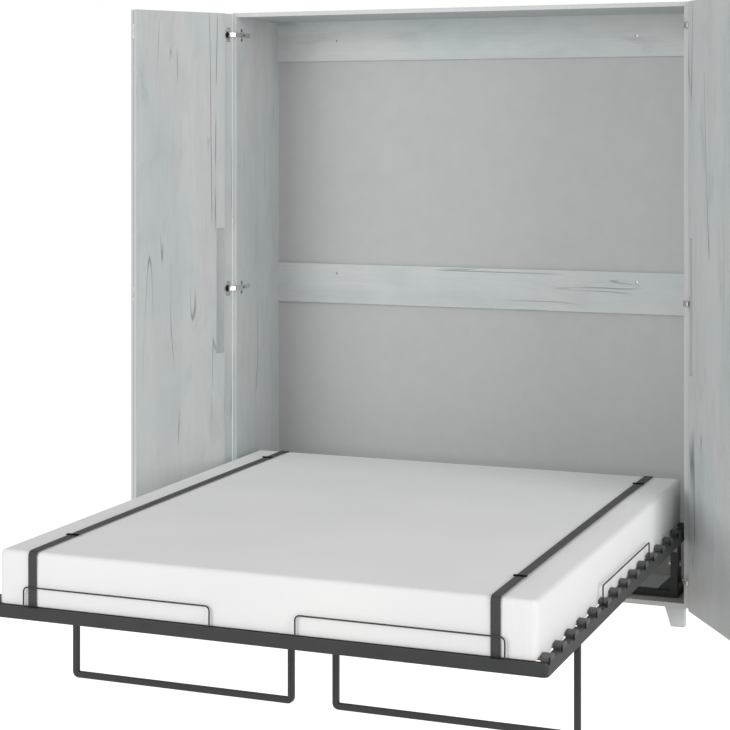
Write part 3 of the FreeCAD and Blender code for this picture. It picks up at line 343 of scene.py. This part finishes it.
# %% Beech veneer
sleeve_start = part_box("slat_holders_right")[0].x - 0.001
slat_wood = finish("beech_slat", (0.55, 0.38, 0.22), 0.45)
length_grain = noise(slat_wood, coordinates(slat_wood, (0.05, 1, 1)), 120, 4, 0.6, 0.3)
flecks = noise(slat_wood, coordinates(slat_wood, (0.22, 1, 1)), 420, 2, 0.5)
veneer = add(slat_wood, "TexWave", {"Vector": coordinates(slat_wood), "Scale": 110.0}, bands_direction="Z")
tone = ramp(slat_wood, length_grain, (0.3, (0.47, 0.31, 0.17)), (0.7, (0.62, 0.44, 0.27)))
fleck = sums(slat_wood, "MULTIPLY", ramp(slat_wood, flecks, (0.62, 0.0), (0.70, 1.0)), 0.35)
tone = mix(slat_wood, fleck, tone, (0.25, 0.13, 0.06))
tone = mix(slat_wood, 1.0, tone, ramp(slat_wood, veneer.outputs["Fac"], (0.0, 0.86), (0.5, 1.0)), "MULTIPLY")
from_middle = add(slat_wood, "SeparateXYZ", {0: coordinates(slat_wood)}).outputs["X"]
sleeve = sums(slat_wood, "GREATER_THAN", sums(slat_wood, "ABSOLUTE", from_middle), sleeve_start)
tone = mix(slat_wood, sleeve, tone, (0.05, 0.0505, 0.0505))
dress(slat_wood, tone, ramp(slat_wood, length_grain, (0.3, 0.52), (0.7, 0.40)), length_grain, 0.0002, 0.3)
print("beech")

# %% [markdown]
# ## Giving the frame its finishes
# The nodes whose shape is already right keep it, and only get a finish and a fine bevel, because no real edge is
# perfectly sharp and a small bevel is what catches the light. The imported meshes are split at their hard edges,
# so a weld comes before the bevel.

# %% Finishes and bevels on the carried-over nodes


def coat(names, material, bevel):
    """Gives nodes a finish and fine bevels."""
    for name in names.split():
        for full in [name] if name in nodes else [f"{name}_left", f"{name}_right"]:
            piece = nodes[full]
            piece.data.materials.clear()
            piece.data.materials.append(material)
            if bevel:
                weld = piece.modifiers.new("weld", "WELD")
                weld.merge_threshold = 0.00002
                soft = piece.modifiers.new("edge", "BEVEL")
                soft.width = bevel
                soft.segments = 2
                soft.limit_method = "ANGLE"
                soft.angle_limit = math.radians(35)
                soft.harden_normals = True


coat("side_panel", decor_cabinet, 0.0005)
coat("door_inner", decor_leaf, 0.0006)
coat("door_outer", decor_grip, 0.0006)
coat("top_panel bottom_panel", decor_panels, 0.0005)
coat("back_rail_top back_rail_middle", decor_rails_painted_lighter, 0.0005)
coat("back_panel_upper back_panel_lower", back_board, 0)
coat("cabinet_feet", foot_plastic, 0.0012)
coat("stand_post stand_cross_bar stand_side_bars stand_gussets gas_spring_brackets", frame_steel, 0.0012)
coat("side_rail head_rail centre_beam leg_cross_tubes foot_rail", frame_steel, 0.0018)
coat("pivot_plate leg_brackets", frame_steel, 0.0006)
coat("leg", frame_steel, 0.0014)
coat("mattress_holder_foot mattress_holder_side", frame_steel, 0)
coat("slats", slat_wood, 0.0012)
coat("slat_holders slat_rests_centre", holder_plastic, 0.001)
coat("slat_caps", cap_plastic, 0.0006)
coat("panel_screws pivot_bolts leg_pins", zinc, 0.0004)
coat("fold_hinges_inner fold_hinges_outer", nickel, 0)
coat("gas_spring_cylinder", spring_paint, 0.0008)
coat("gas_spring_rod", rod_chrome, 0.0004)
print("finishes on", sum(1 for n in nodes.values() if n.data.materials), "nodes")

# %% [markdown]
# ## Tools for new pieces
# A new piece is a bmesh that operators shape, written to an object that stays at the origin with its place in its
# mesh, as the frame's own nodes do.

# %% Functions that make a piece


def piece(name, mesh, material, body, bevel=0.0, smooth=True):
    """Makes a finished object of a bmesh and lets it ride on a body."""
    bmesh.ops.recalc_face_normals(mesh, faces=mesh.faces)
    data = bpy.data.meshes.new(name)
    mesh.to_mesh(data)
    mesh.free()
    made = bpy.data.objects.new(name, data)
    bpy.context.scene.collection.objects.link(made)
    data.materials.append(material)
    if smooth:
        for face in data.polygons:
            face.use_smooth = True
    if bevel:
        soft = made.modifiers.new("edge", "BEVEL")
        soft.width = bevel
        soft.segments = 3
        soft.limit_method = "ANGLE"
        soft.angle_limit = math.radians(35)
        soft.harden_normals = True
    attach(made, body)
    return made


def block(mesh, low, high, place=None):
    """A box between two corners, with an optional placing matrix."""
    low, high = Vector(low), Vector(high)
    middle = Matrix.Translation((low + high) / 2) @ Matrix.Diagonal((*(high - low), 1))
    return bmesh.ops.create_cube(mesh, size=1, matrix=(place or Matrix()) @ middle)["verts"]


def disc(mesh, radius, depth, place, segments=32, tip=None):
    """A closed cylinder or cone about its own z axis, centred on a placing matrix."""
    far = radius if tip is None else tip
    return bmesh.ops.create_cone(
        mesh, cap_ends=True, cap_tris=False, segments=segments, radius1=radius, radius2=far, depth=depth, matrix=place
    )["verts"]


# %% [markdown]
# ## The mattress
# A foam mattress in a plain knitted cover: a box with soft upper edges, a crown of a few millimetres on top and
# sides that belly out slightly between the corners. Below, its weight presses it square on the slats, and it hangs
# over them at its ends and between them at its sides. A cube gets a different bevel on each kind of edge, is cut
# into a fine grid, and its vertices are then moved by how far they lie from the middle. Webbing presses a shallow
# channel into it.

# %% The mattress's form
low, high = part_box("mattress")
centre, half = (low + high) / 2, (high - low) / 2
strap_low, strap_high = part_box("strap_right")
strap_x = (strap_low.x + strap_high.x) / 2
strap_half = (strap_high.x - strap_low.x) / 2
side_radius, top_radius, low_radius = 0.018, 0.015, 0.004
form = bmesh.new()
block(form, low, high)


def round_over(mesh, radius, steps, wanted):
    """Bevels the edges that a test picks."""
    edges = [edge for edge in mesh.edges if wanted(edge)]
    bmesh.ops.bevel(
        mesh, geom=edges, offset=radius, affect="EDGES", segments=steps, profile=0.5, material=-1, clamp_overlap=True
    )


def at_height(edge, z):
    """True where both ends of an edge lie at a height."""
    return all(abs(vertex.co.z - z) < 1e-5 for vertex in edge.verts)


round_over(form, side_radius, 8, lambda edge: abs(edge.verts[0].co.z - edge.verts[1].co.z) > 0.1)
round_over(form, top_radius, 7, lambda edge: at_height(edge, high.z))
round_over(form, low_radius, 3, lambda edge: at_height(edge, low.z))


def slice_across(mesh, point, normal):
    """Cuts all faces along a plane."""
    geometry = mesh.verts[:] + mesh.edges[:] + mesh.faces[:]
    bmesh.ops.bisect_plane(mesh, geom=geometry, dist=1e-6, plane_co=point, plane_no=normal)


for axis, step in ((0, 0.0150), (1, 0.0113)):
    direction = Vector((axis == 0, axis == 1, 0))
    count = int(2 * (half[axis] - side_radius) / step)
    for i in range(1, count):
        distance = side_radius + 2 * (half[axis] - side_radius) * i / count
        slice_across(form, low + direction * distance, direction)
for level in (0.08, 0.2, 0.35, 0.5, 0.65):
    slice_across(form, Vector((0, 0, low.z + 2 * half.z * level)), (0, 0, 1))
lip = 0.012
for end in (low.y + lip, low.y + 0.5 * lip, high.y - lip, high.y - 0.5 * lip):
    slice_across(form, Vector((0, end, 0)), (0, 1, 0))


def dip(x):
    """How far the webbing presses in at a distance from the middle, in metres."""
    across = abs(abs(x) - strap_x) / (strap_half * 1.9)
    return 0.0022 * max(0.0, 1 - across * across)


rail_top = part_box("foot_rail")[1].z
slat_low, slat_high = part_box("slats")
slat_wide, slat_rows = 0.05, 15
slat_pitch = (slat_high.y - slat_low.y - slat_wide) / (slat_rows - 1)
rail_gap, side_hang = 0.0014, 0.0135
crown_high, belly_out = 0.005, 0.0022


def hanging(at):
    """How far the lower edge hangs, down on the rails at the ends and between the slats at the sides."""
    ends = min(1.0, max(0.0, (abs(at.y - centre.y) - half.y + lip) / (0.5 * lip)))
    turn = (at.y - slat_low.y - slat_wide / 2) / slat_pitch
    away = abs(turn - round(turn)) * slat_pitch - slat_wide / 2
    sideways = min(1.0, max(0.0, (abs(at.x - centre.x) - half.x + 0.03) / 0.02))
    if not 0 < turn < slat_rows - 1:
        sideways = 0
    between = sideways * min(1.0, max(0.0, (away - 0.001) / 0.007))
    return max(ends * (low.z - rail_top - rail_gap), between * side_hang)


for vertex in form.verts:
    x, y, z = ((vertex.co[i] - centre[i]) / half[i] for i in range(3))
    hang = hanging(vertex.co)
    if z < -0.5:
        vertex.co.z -= hang * min(1.0, (-0.5 - z) * 2.5)
    crown = crown_high * (1 - abs(x) ** 3.2) * (1 - abs(y) ** 3.2)
    belly = belly_out * (1 - z * z)
    if z > 0:
        vertex.co.z += z * (crown - dip(vertex.co.x)) - 0.0015
    vertex.co.x += x * abs(x) ** 5 * (belly * (1 - abs(y) ** 6) - 0.0015)
    vertex.co.y += y * abs(y) ** 5 * (belly * (1 - abs(x) ** 6) - 0.0030)
print("mattress with", len(form.faces), "faces")

# %% [markdown]
# The cover is a fine double knit. Close up it has small loops in rows; from further away what shows is a faint
# ribbing that runs up the sides and soft wavy lines across the top, so both scales are in the height.

# %% Knitted cover
sheen = {"Sheen_Weight": 0.25, "Sheen_Roughness": 0.5}
knit = finish("mattress_knit", (0.86, 0.86, 0.855), 0.85, Specular_IOR_Level=0.2, **sheen)


def waves(direction):
    """Soft wavy lines that follow each other along X or Y."""
    settings = {"Vector": coordinates(knit), "Scale": 34.0, "Distortion": 1.2, "Detail": 2.0}
    return add(knit, "TexWave", settings, bands_direction=direction).outputs["Fac"]


ribs, rows = waves("X"), waves("Y")
loops = add(knit, "TexVoronoi", {"Vector": coordinates(knit, (1, 1, 0.7)), "Scale": 520.0}, feature="SMOOTH_F1")
drift = noise(knit, coordinates(knit, (1, 1, 1)), 2.4, 3, 0.5)
fuzz = noise(knit, coordinates(knit), 800, 2, 0.6)
weave = layered(knit, (ribs, 0.5), (rows, 0.25), (loops.outputs["Distance"], 0.8), (fuzz, 0.25))
cover_tone = ramp(knit, drift, (0.3, (0.815, 0.817, 0.815)), (0.7, (0.855, 0.856, 0.850)))
cover_tone = mix(knit, 1.0, cover_tone, ramp(knit, weave, (0.2, 0.955), (0.8, 1.0)), "MULTIPLY")
dress(knit, cover_tone, None, weave, 0.0007, 0.35)
cushion = piece("mattress_cover", form, knit, "bed")
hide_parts("mattress")

# %% [markdown]
# ## The straps
# Two bands of woven polypropylene hold the mattress when the bed stands up. Each is tucked in on the foot rail, goes
# up the mattress's end, over its edge, along the top, and down to the head rail. The band is an edge line extruded
# sideways, with a UV map along it, so that its weave follows every bend. Solidify gives it its thickness.

# %% Woven webbing
webbing = finish("woven_webbing", (0.055, 0.055, 0.053), 0.68, Specular_IOR_Level=0.25, Sheen_Weight=0.05)
over = add(webbing, "TexWave", {"Vector": coordinates(webbing, source="UV"), "Scale": 160.0}, bands_direction="Y")
warp = add(webbing, "TexWave", {"Vector": coordinates(webbing, source="UV"), "Scale": 150.0}, bands_direction="X")
thread = noise(webbing, coordinates(webbing, (1, 8, 1), source="UV"), 700, 2, 0.6)
twill = layered(webbing, (over.outputs["Fac"], 0.7), (warp.outputs["Fac"], 0.5), (thread, 0.3))
band_tone = ramp(webbing, twill, (0.2, (0.034, 0.034, 0.033)), (1.0, (0.070, 0.070, 0.067)))
dress(webbing, band_tone, ramp(webbing, twill, (0.2, 0.7), (1.0, 0.55)), twill, 0.0005, 0.5)


def band_line(sign):
    """Points along a strap's middle, from the foot rail to the head rail."""
    rail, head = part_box("foot_rail"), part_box("head_rail")
    base = rail[1].z + 0.0013
    front, rear, top = strap_low.y + 0.001, strap_high.y - 0.001, strap_high.z - 0.001
    bend = 0.0175
    points = [Vector((0, rail[1].y - 0.001, base)), Vector((0, front + 0.004, base))]
    points.append(Vector((0, front + 0.0008, base + 0.003)))
    points += [Vector((0, front, base + 0.02 + 0.1 * i / 8)) for i in range(8)]
    for i in range(9):
        turn = math.radians(90 * i / 8)
        points.append(Vector((0, front + bend - bend * math.cos(turn), top - bend + bend * math.sin(turn))))
    long = rear - front - 2 * bend
    for i in range(1, 60):
        share = i / 60
        crown = 0.0022 * (1 - abs(2 * share - 1) ** 3.2)
        points.append(Vector((0, front + bend + long * share, top + crown)))
    for i in range(9):
        turn = math.radians(90 * i / 8)
        points.append(Vector((0, rear - bend + bend * math.sin(turn), top - bend + bend * math.cos(turn))))
    points += [Vector((0, rear, base + 0.12 - 0.1 * i / 8)) for i in range(8)]
    points += [Vector((0, rear - 0.0008, base + 0.003)), Vector((0, rear - 0.004, base))]
    points.append(Vector((0, head[1].y - 0.009, base)))
    for point in points:
        point.x = sign * strap_x
    return points


def band(name, points, half_width, thick, node, body):
    """A woven band along points, centred on them, with its weave laid along it."""
    mesh = bmesh.new()
    layer = mesh.loops.layers.uv.new("UVMap")
    line = [mesh.verts.new(p - Vector((half_width, 0, 0))) for p in points]
    edges = [mesh.edges.new(pair) for pair in zip(line, line[1:])]
    run = {line[0]: 0.0}
    for one, other in zip(line, line[1:]):
        run[other] = run[one] + (other.co - one.co).length
    steps = 4
    for i in range(steps):
        grown = bmesh.ops.extrude_edge_only(mesh, edges=edges)["geom"]
        new = [g for g in grown if isinstance(g, bmesh.types.BMVert)]
        edges = [g for g in grown if isinstance(g, bmesh.types.BMEdge)]
        bmesh.ops.translate(mesh, verts=new, vec=(2 * half_width / steps, 0, 0))
    for vertex in mesh.verts:
        if vertex not in run:
            run[vertex] = min(run[v] for v in line if (v.co.yz - vertex.co.yz).length < 1e-6)
    for face in mesh.faces:
        for loop in face.loops:
            loop[layer].uv = (loop.vert.co.x, run[loop.vert])
    made = piece(name, mesh, webbing, body)
    solid = made.modifiers.new("thickness", "SOLIDIFY")
    solid.thickness = thick
    solid.offset = 0.0
    soft = made.modifiers.new("selvedge", "BEVEL")
    soft.width = thick * 0.35
    soft.segments = 2
    soft.limit_method = "ANGLE"
    soft.angle_limit = math.radians(50)
    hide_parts(node)
    return made


for side, sign in mirror.items():
    band(f"strap_webbing_{side}", band_line(sign), strap_half, 0.0016, f"strap_{side}", "bed")
print("straps", round(2 * strap_half * 1000), "mm wide")

# %% [markdown]
# ## The slides
# Near each end the webbing runs through a black plastic slide. It's a rounded bar frame with a middle bar: a block is
# inset from above and below, the two insets are joined through it as a window, and the middle bar closes it again.

# %% Slides on the straps
slides = bmesh.new()
slide_low, slide_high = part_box("strap_buckles")
ends = (slide_low.y + 0.0075, slide_high.y - 0.0075)
for side, sign in mirror.items():
    for end in ends:
        x = sign * strap_x
        z = slide_low.z + 0.0012
        part = bmesh.new()
        wide = strap_half + 0.0055
        block(part, (x - wide, end - 0.0065, z - 0.0010), (x + wide, end + 0.0065, z + 0.0026))
        caps = [f for f in part.faces if abs(f.normal.z) > 0.9]
        bmesh.ops.inset_individual(part, faces=caps, thickness=0.0024)
        bmesh.ops.bridge_loops(part, edges=[e for f in caps for e in f.edges])
        bmesh.ops.delete(part, geom=caps, context="FACES_ONLY")
        block(part, (x - wide + 0.001, end - 0.0016, z + 0.0002), (x + wide - 0.001, end + 0.0016, z + 0.0030))
        data = bpy.data.meshes.new("slide")
        part.to_mesh(data)
        part.free()
        slides.from_mesh(data)
        bpy.data.meshes.remove(data)
slide_set = piece("strap_slides", slides, cap_plastic, "bed", bevel=0.0007)
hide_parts("strap_buckles")
print("four slides")

# %% [markdown]
# ## The concealed hinges
# Each door hangs on three cup hinges. The fixed half is a cross-shaped plate with two screws, and a long arm with
# folded edges and a slotted adjusting screw. The moving half is a round cup let into the leaf, with two wings and
# two links that reach from the cup to the arm's nose. The plates are blocks with bevelled corners; the cup is a
# spun profile, so that it's one closed shell.

# %% The hinges' fixed halves
heights = [0.164, 1.140, 2.116]


def fixed_half(side, sign):
    """Arms, plates and screws on one side panel."""
    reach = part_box(f"hinge_arms_{side}")
    wall = reach[1].x if sign > 0 else reach[0].x
    start = reach[0].y
    metal, screws = bmesh.new(), bmesh.new()

    def inward(distance):
        return wall - sign * distance

    def plate(near, far, ends, up, down):
        """A plate between two distances from the side panel."""
        xs = sorted((inward(near), inward(far)))
        block(metal, (xs[0], start + ends[0], down), (xs[1], start + ends[1], up))

    for z in heights:
        plate(0.0, 0.0015, (0.038, 0.060), z + 0.0255, z - 0.0255)
        plate(0.0, 0.0019, (0.016, 0.132), z + 0.0085, z - 0.0085)
        plate(0.0015, 0.0032, (0.0005, 0.068), z + 0.0068, z - 0.0068)
        plate(0.0015, 0.0030, (0.068, 0.082), z + 0.0046, z - 0.0046)
        for edge in (-0.0068, 0.0055):
            plate(0.0012, 0.0035, (0.002, 0.066), z + edge + 0.0013, z + edge)
        for y, up, radius, lift in (
            (0.0490, -0.018, 0.0048, 0.0018),
            (0.0490, 0.018, 0.0048, 0.0018),
            (0.0600, 0, 0.0042, 0.0030),
            (0.0755, 0, 0.0042, 0.0030),
        ):
            turn = Matrix.Rotation(math.radians(90), 4, "Y")
            spot = Matrix.Translation((inward(lift), start + y, z + up)) @ turn
            disc(screws, radius, 0.0010, spot, 24)
    base = piece(f"hinge_arm_plates_{side}", metal, nickel, "cabinet", bevel=0.0006)
    heads = piece(f"hinge_arm_screws_{side}", screws, dark_nickel_cup_shade_and_screws, "cabinet", bevel=0.0004)
    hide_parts(f"hinge_arms_{side}")


for side, sign in mirror.items():
    fixed_half(side, sign)
print("fixed hinge halves")

# %% [markdown]
# The moving half is modelled in the leaf's own directions, along the leaf, up and out of its inner face, and one
# matrix puts it on the open door. The matrix comes from the door's hinge joint and the angle of the open door.

# %% The hinges' moving halves


def leaf_matrix(side, sign):
    """Places leaf coordinates (along, out of the inner face, up) on the open door."""
    hinge = next(j for j in frame["record"]["behaviour"]["joints"] if j["name"] == f"door_inner_{side}_hinge")
    turn = Matrix.Rotation(sign * math.radians(120), 4, "Z")
    flip = Matrix.Diagonal((-sign, 1, 1, 1))
    return Matrix.Translation((hinge["pos_m"][0], hinge["pos_m"][1], 0)) @ turn @ flip


def moving_half(side, sign):
    """Cups, wings and links on one inner leaf."""
    place = leaf_matrix(side, sign)
    shell, inside = bmesh.new(), bmesh.new()
    def bar(x0, y0, x1, y1, thick, foot, top):
        """A flat bar from one point of the hinge's side view to another."""
        run = Vector((x1 - x0, y1 - y0, 0))
        turn = Matrix.Translation((x0, y0, 0)) @ Matrix.Rotation(math.atan2(run.y, run.x), 4, "Z")
        block(shell, (0, -thick / 2, foot), (run.length, thick / 2, top), place @ turn)

    def turned(mesh, profile, z):
        """Spins a profile of radius and height about the cup's axis and puts it in place."""
        part = bmesh.new()
        line = [part.verts.new((r, out, 0)) for r, out in profile]
        edges = [part.edges.new(pair) for pair in zip(line, line[1:])]
        bmesh.ops.spin(
            part, geom=line + edges, cent=(0, 0, 0), axis=(0, 1, 0), angle=2 * math.pi, steps=40, use_merge=True
        )
        bmesh.ops.remove_doubles(part, verts=part.verts[:], dist=1e-6)
        bmesh.ops.recalc_face_normals(part, faces=part.faces)
        bmesh.ops.transform(part, matrix=place @ Matrix.Translation((0.0225, 0, z)), verts=part.verts)
        data = bpy.data.meshes.new("turned")
        part.to_mesh(data)
        part.free()
        mesh.from_mesh(data)
        bpy.data.meshes.remove(data)

    for z in heights:
        turned(shell, [(0.0173, 0.0001), (0.0173, 0.0012), (0.0125, 0.0012), (0.0125, 0.0001), (0.0173, 0.0001)], z)
        turned(inside, [(0.0124, 0.0010), (0.0124, -0.0100), (0.0, -0.0105)], z)
        block(shell, (0.0125, 0.0001, z - 0.0280), (0.0325, 0.0011, z - 0.0150), place)
        block(shell, (0.0125, 0.0001, z + 0.0150), (0.0325, 0.0011, z + 0.0280), place)
        bar(0.0255, -0.0040, 0.0235, 0.0110, 0.0013, z - 0.0072, z + 0.0072)
        bar(0.0240, 0.0104, 0.0190, 0.0142, 0.0013, z - 0.0072, z + 0.0072)
        bar(0.0195, 0.0139, 0.0000, 0.0190, 0.0013, z - 0.0072, z + 0.0072)
        for low_z in (-0.0098, 0.0082):
            bar(0.0240, -0.0090, 0.0230, 0.0080, 0.0065, z + low_z, z + low_z + 0.0016)
            bar(0.0240, 0.0075, 0.0050, 0.0160, 0.0045, z + low_z, z + low_z + 0.0016)
            bar(0.0060, 0.0158, -0.0078, 0.0170, 0.0022, z + low_z, z + low_z + 0.0016)
        for up in (-0.0215, 0.0215):
            spot = place @ Matrix.Translation((0.0225, 0.0014, z + up)) @ Matrix.Rotation(math.radians(90), 4, "X")
            disc(shell, 0.0036, 0.0010, spot, 24)
    cover = piece(f"hinge_links_{side}", shell, nickel, f"door_inner_{side}_body", bevel=0.0004)
    # The cup's inside takes the painted shade.
    cup = piece(f"hinge_cup_shells_{side}", inside, dark_nickel_cup_shade_and_screws, f"door_inner_{side}_body")
    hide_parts(f"hinge_cups_{side}")


for side, sign in mirror.items():
    moving_half(side, sign)
print("moving hinge halves")

# %% [markdown]
# ## Floor, light and camera
# The bed is shown as in a catalogue: a white floor that runs into a white room, and light that comes softly from
# all round, stronger from the right and the front than from above. The floor and the room look whiter than the
# light that they give, so that broad lamps at the right and the front can model the bed's faces.

# %% Floor and room
floor_mesh = bmesh.new()
bmesh.ops.create_grid(floor_mesh, x_segments=1, y_segments=1, size=30)
floor_data = bpy.data.meshes.new("floor")
floor_mesh.to_mesh(floor_data)
floor_mesh.free()
floor = bpy.data.objects.new("floor", floor_data)
bpy.context.scene.collection.objects.link(floor)
floor_white = finish("floor_white", (0.9, 0.9, 0.9), 0.9, Emission_Color=(1, 1, 1, 1), Emission_Strength=0.72)
floor_data.materials.append(floor_white)
tree = floor_white.node_tree
bounce = add(floor_white, "Emission", {"Color": (1, 1, 1, 1), "Strength": 0.72})
ray_kind = add(floor_white, "LightPath")
either = add(floor_white, "MixShader", {0: ray_kind.outputs["Is Camera Ray"], 1: bounce.outputs[0]})
tree.links.new(tree.nodes["Principled BSDF"].outputs[0], either.inputs[2])
tree.links.new(either.outputs[0], tree.nodes["Material Output"].inputs["Surface"])

world = bpy.data.worlds.new("studio")
bpy.context.scene.world = world
world.use_nodes = True
sky = world.node_tree
room = sky.nodes["Background"]
room.inputs["Color"].default_value = (1, 1, 1, 1)
room.inputs["Strength"].default_value = 0.44
seen = sky.nodes.new("ShaderNodeBackground")
seen.inputs["Strength"].default_value = 1.25
ray = sky.nodes.new("ShaderNodeLightPath")
both = sky.nodes.new("ShaderNodeMixShader")
sky.links.new(ray.outputs["Is Camera Ray"], both.inputs[0])
sky.links.new(room.outputs[0], both.inputs[1])
sky.links.new(seen.outputs[0], both.inputs[2])
sky.links.new(both.outputs[0], sky.nodes["World Output"].inputs["Surface"])
print("white room")

# %% Lamps


def lamp(name, place, aim, size, power):
    """A broad soft lamp that looks at a point."""
    data = bpy.data.lights.new(name, "AREA")
    data.shape = "RECTANGLE"
    data.size, data.size_y = size
    data.energy = power
    made = bpy.data.objects.new(name, data)
    made.location = place
    made.rotation_euler = (Vector(aim) - Vector(place)).to_track_quat("-Z", "Y").to_euler()
    bpy.context.scene.collection.objects.link(made)
    return made


lamp("right_softbox", (6.5, -2.5, 2.4), (0, 0, 0.6), (4.5, 4.5), 245)
lamp("front_softbox", (-4.4, -8.4, 2.8), (0, 0, 0.9), (6.0, 4.0), 380)
lamp("top_softbox", (0.0, -1.5, 6.5), (0, 0, 0), (5.0, 5.0), 3)
print("three lamps")

# %% Camera
eye = bpy.data.cameras.new("camera")
eye.sensor_width = 36
eye.lens = 97.0
eye.shift_x = 0.1693
eye.shift_y = -0.3207
camera = bpy.data.objects.new("camera", eye)
camera.location = (2.16389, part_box("side_panel_right")[0].y - 6.95542, 1.7459)
camera.rotation_euler = (math.radians(90), 0, math.radians(23.33))
bpy.context.scene.collection.objects.link(camera)
bpy.context.scene.camera = camera
bpy.context.scene.view_settings.view_transform = "Standard"
print("camera", [round(v, 3) for v in camera.location])
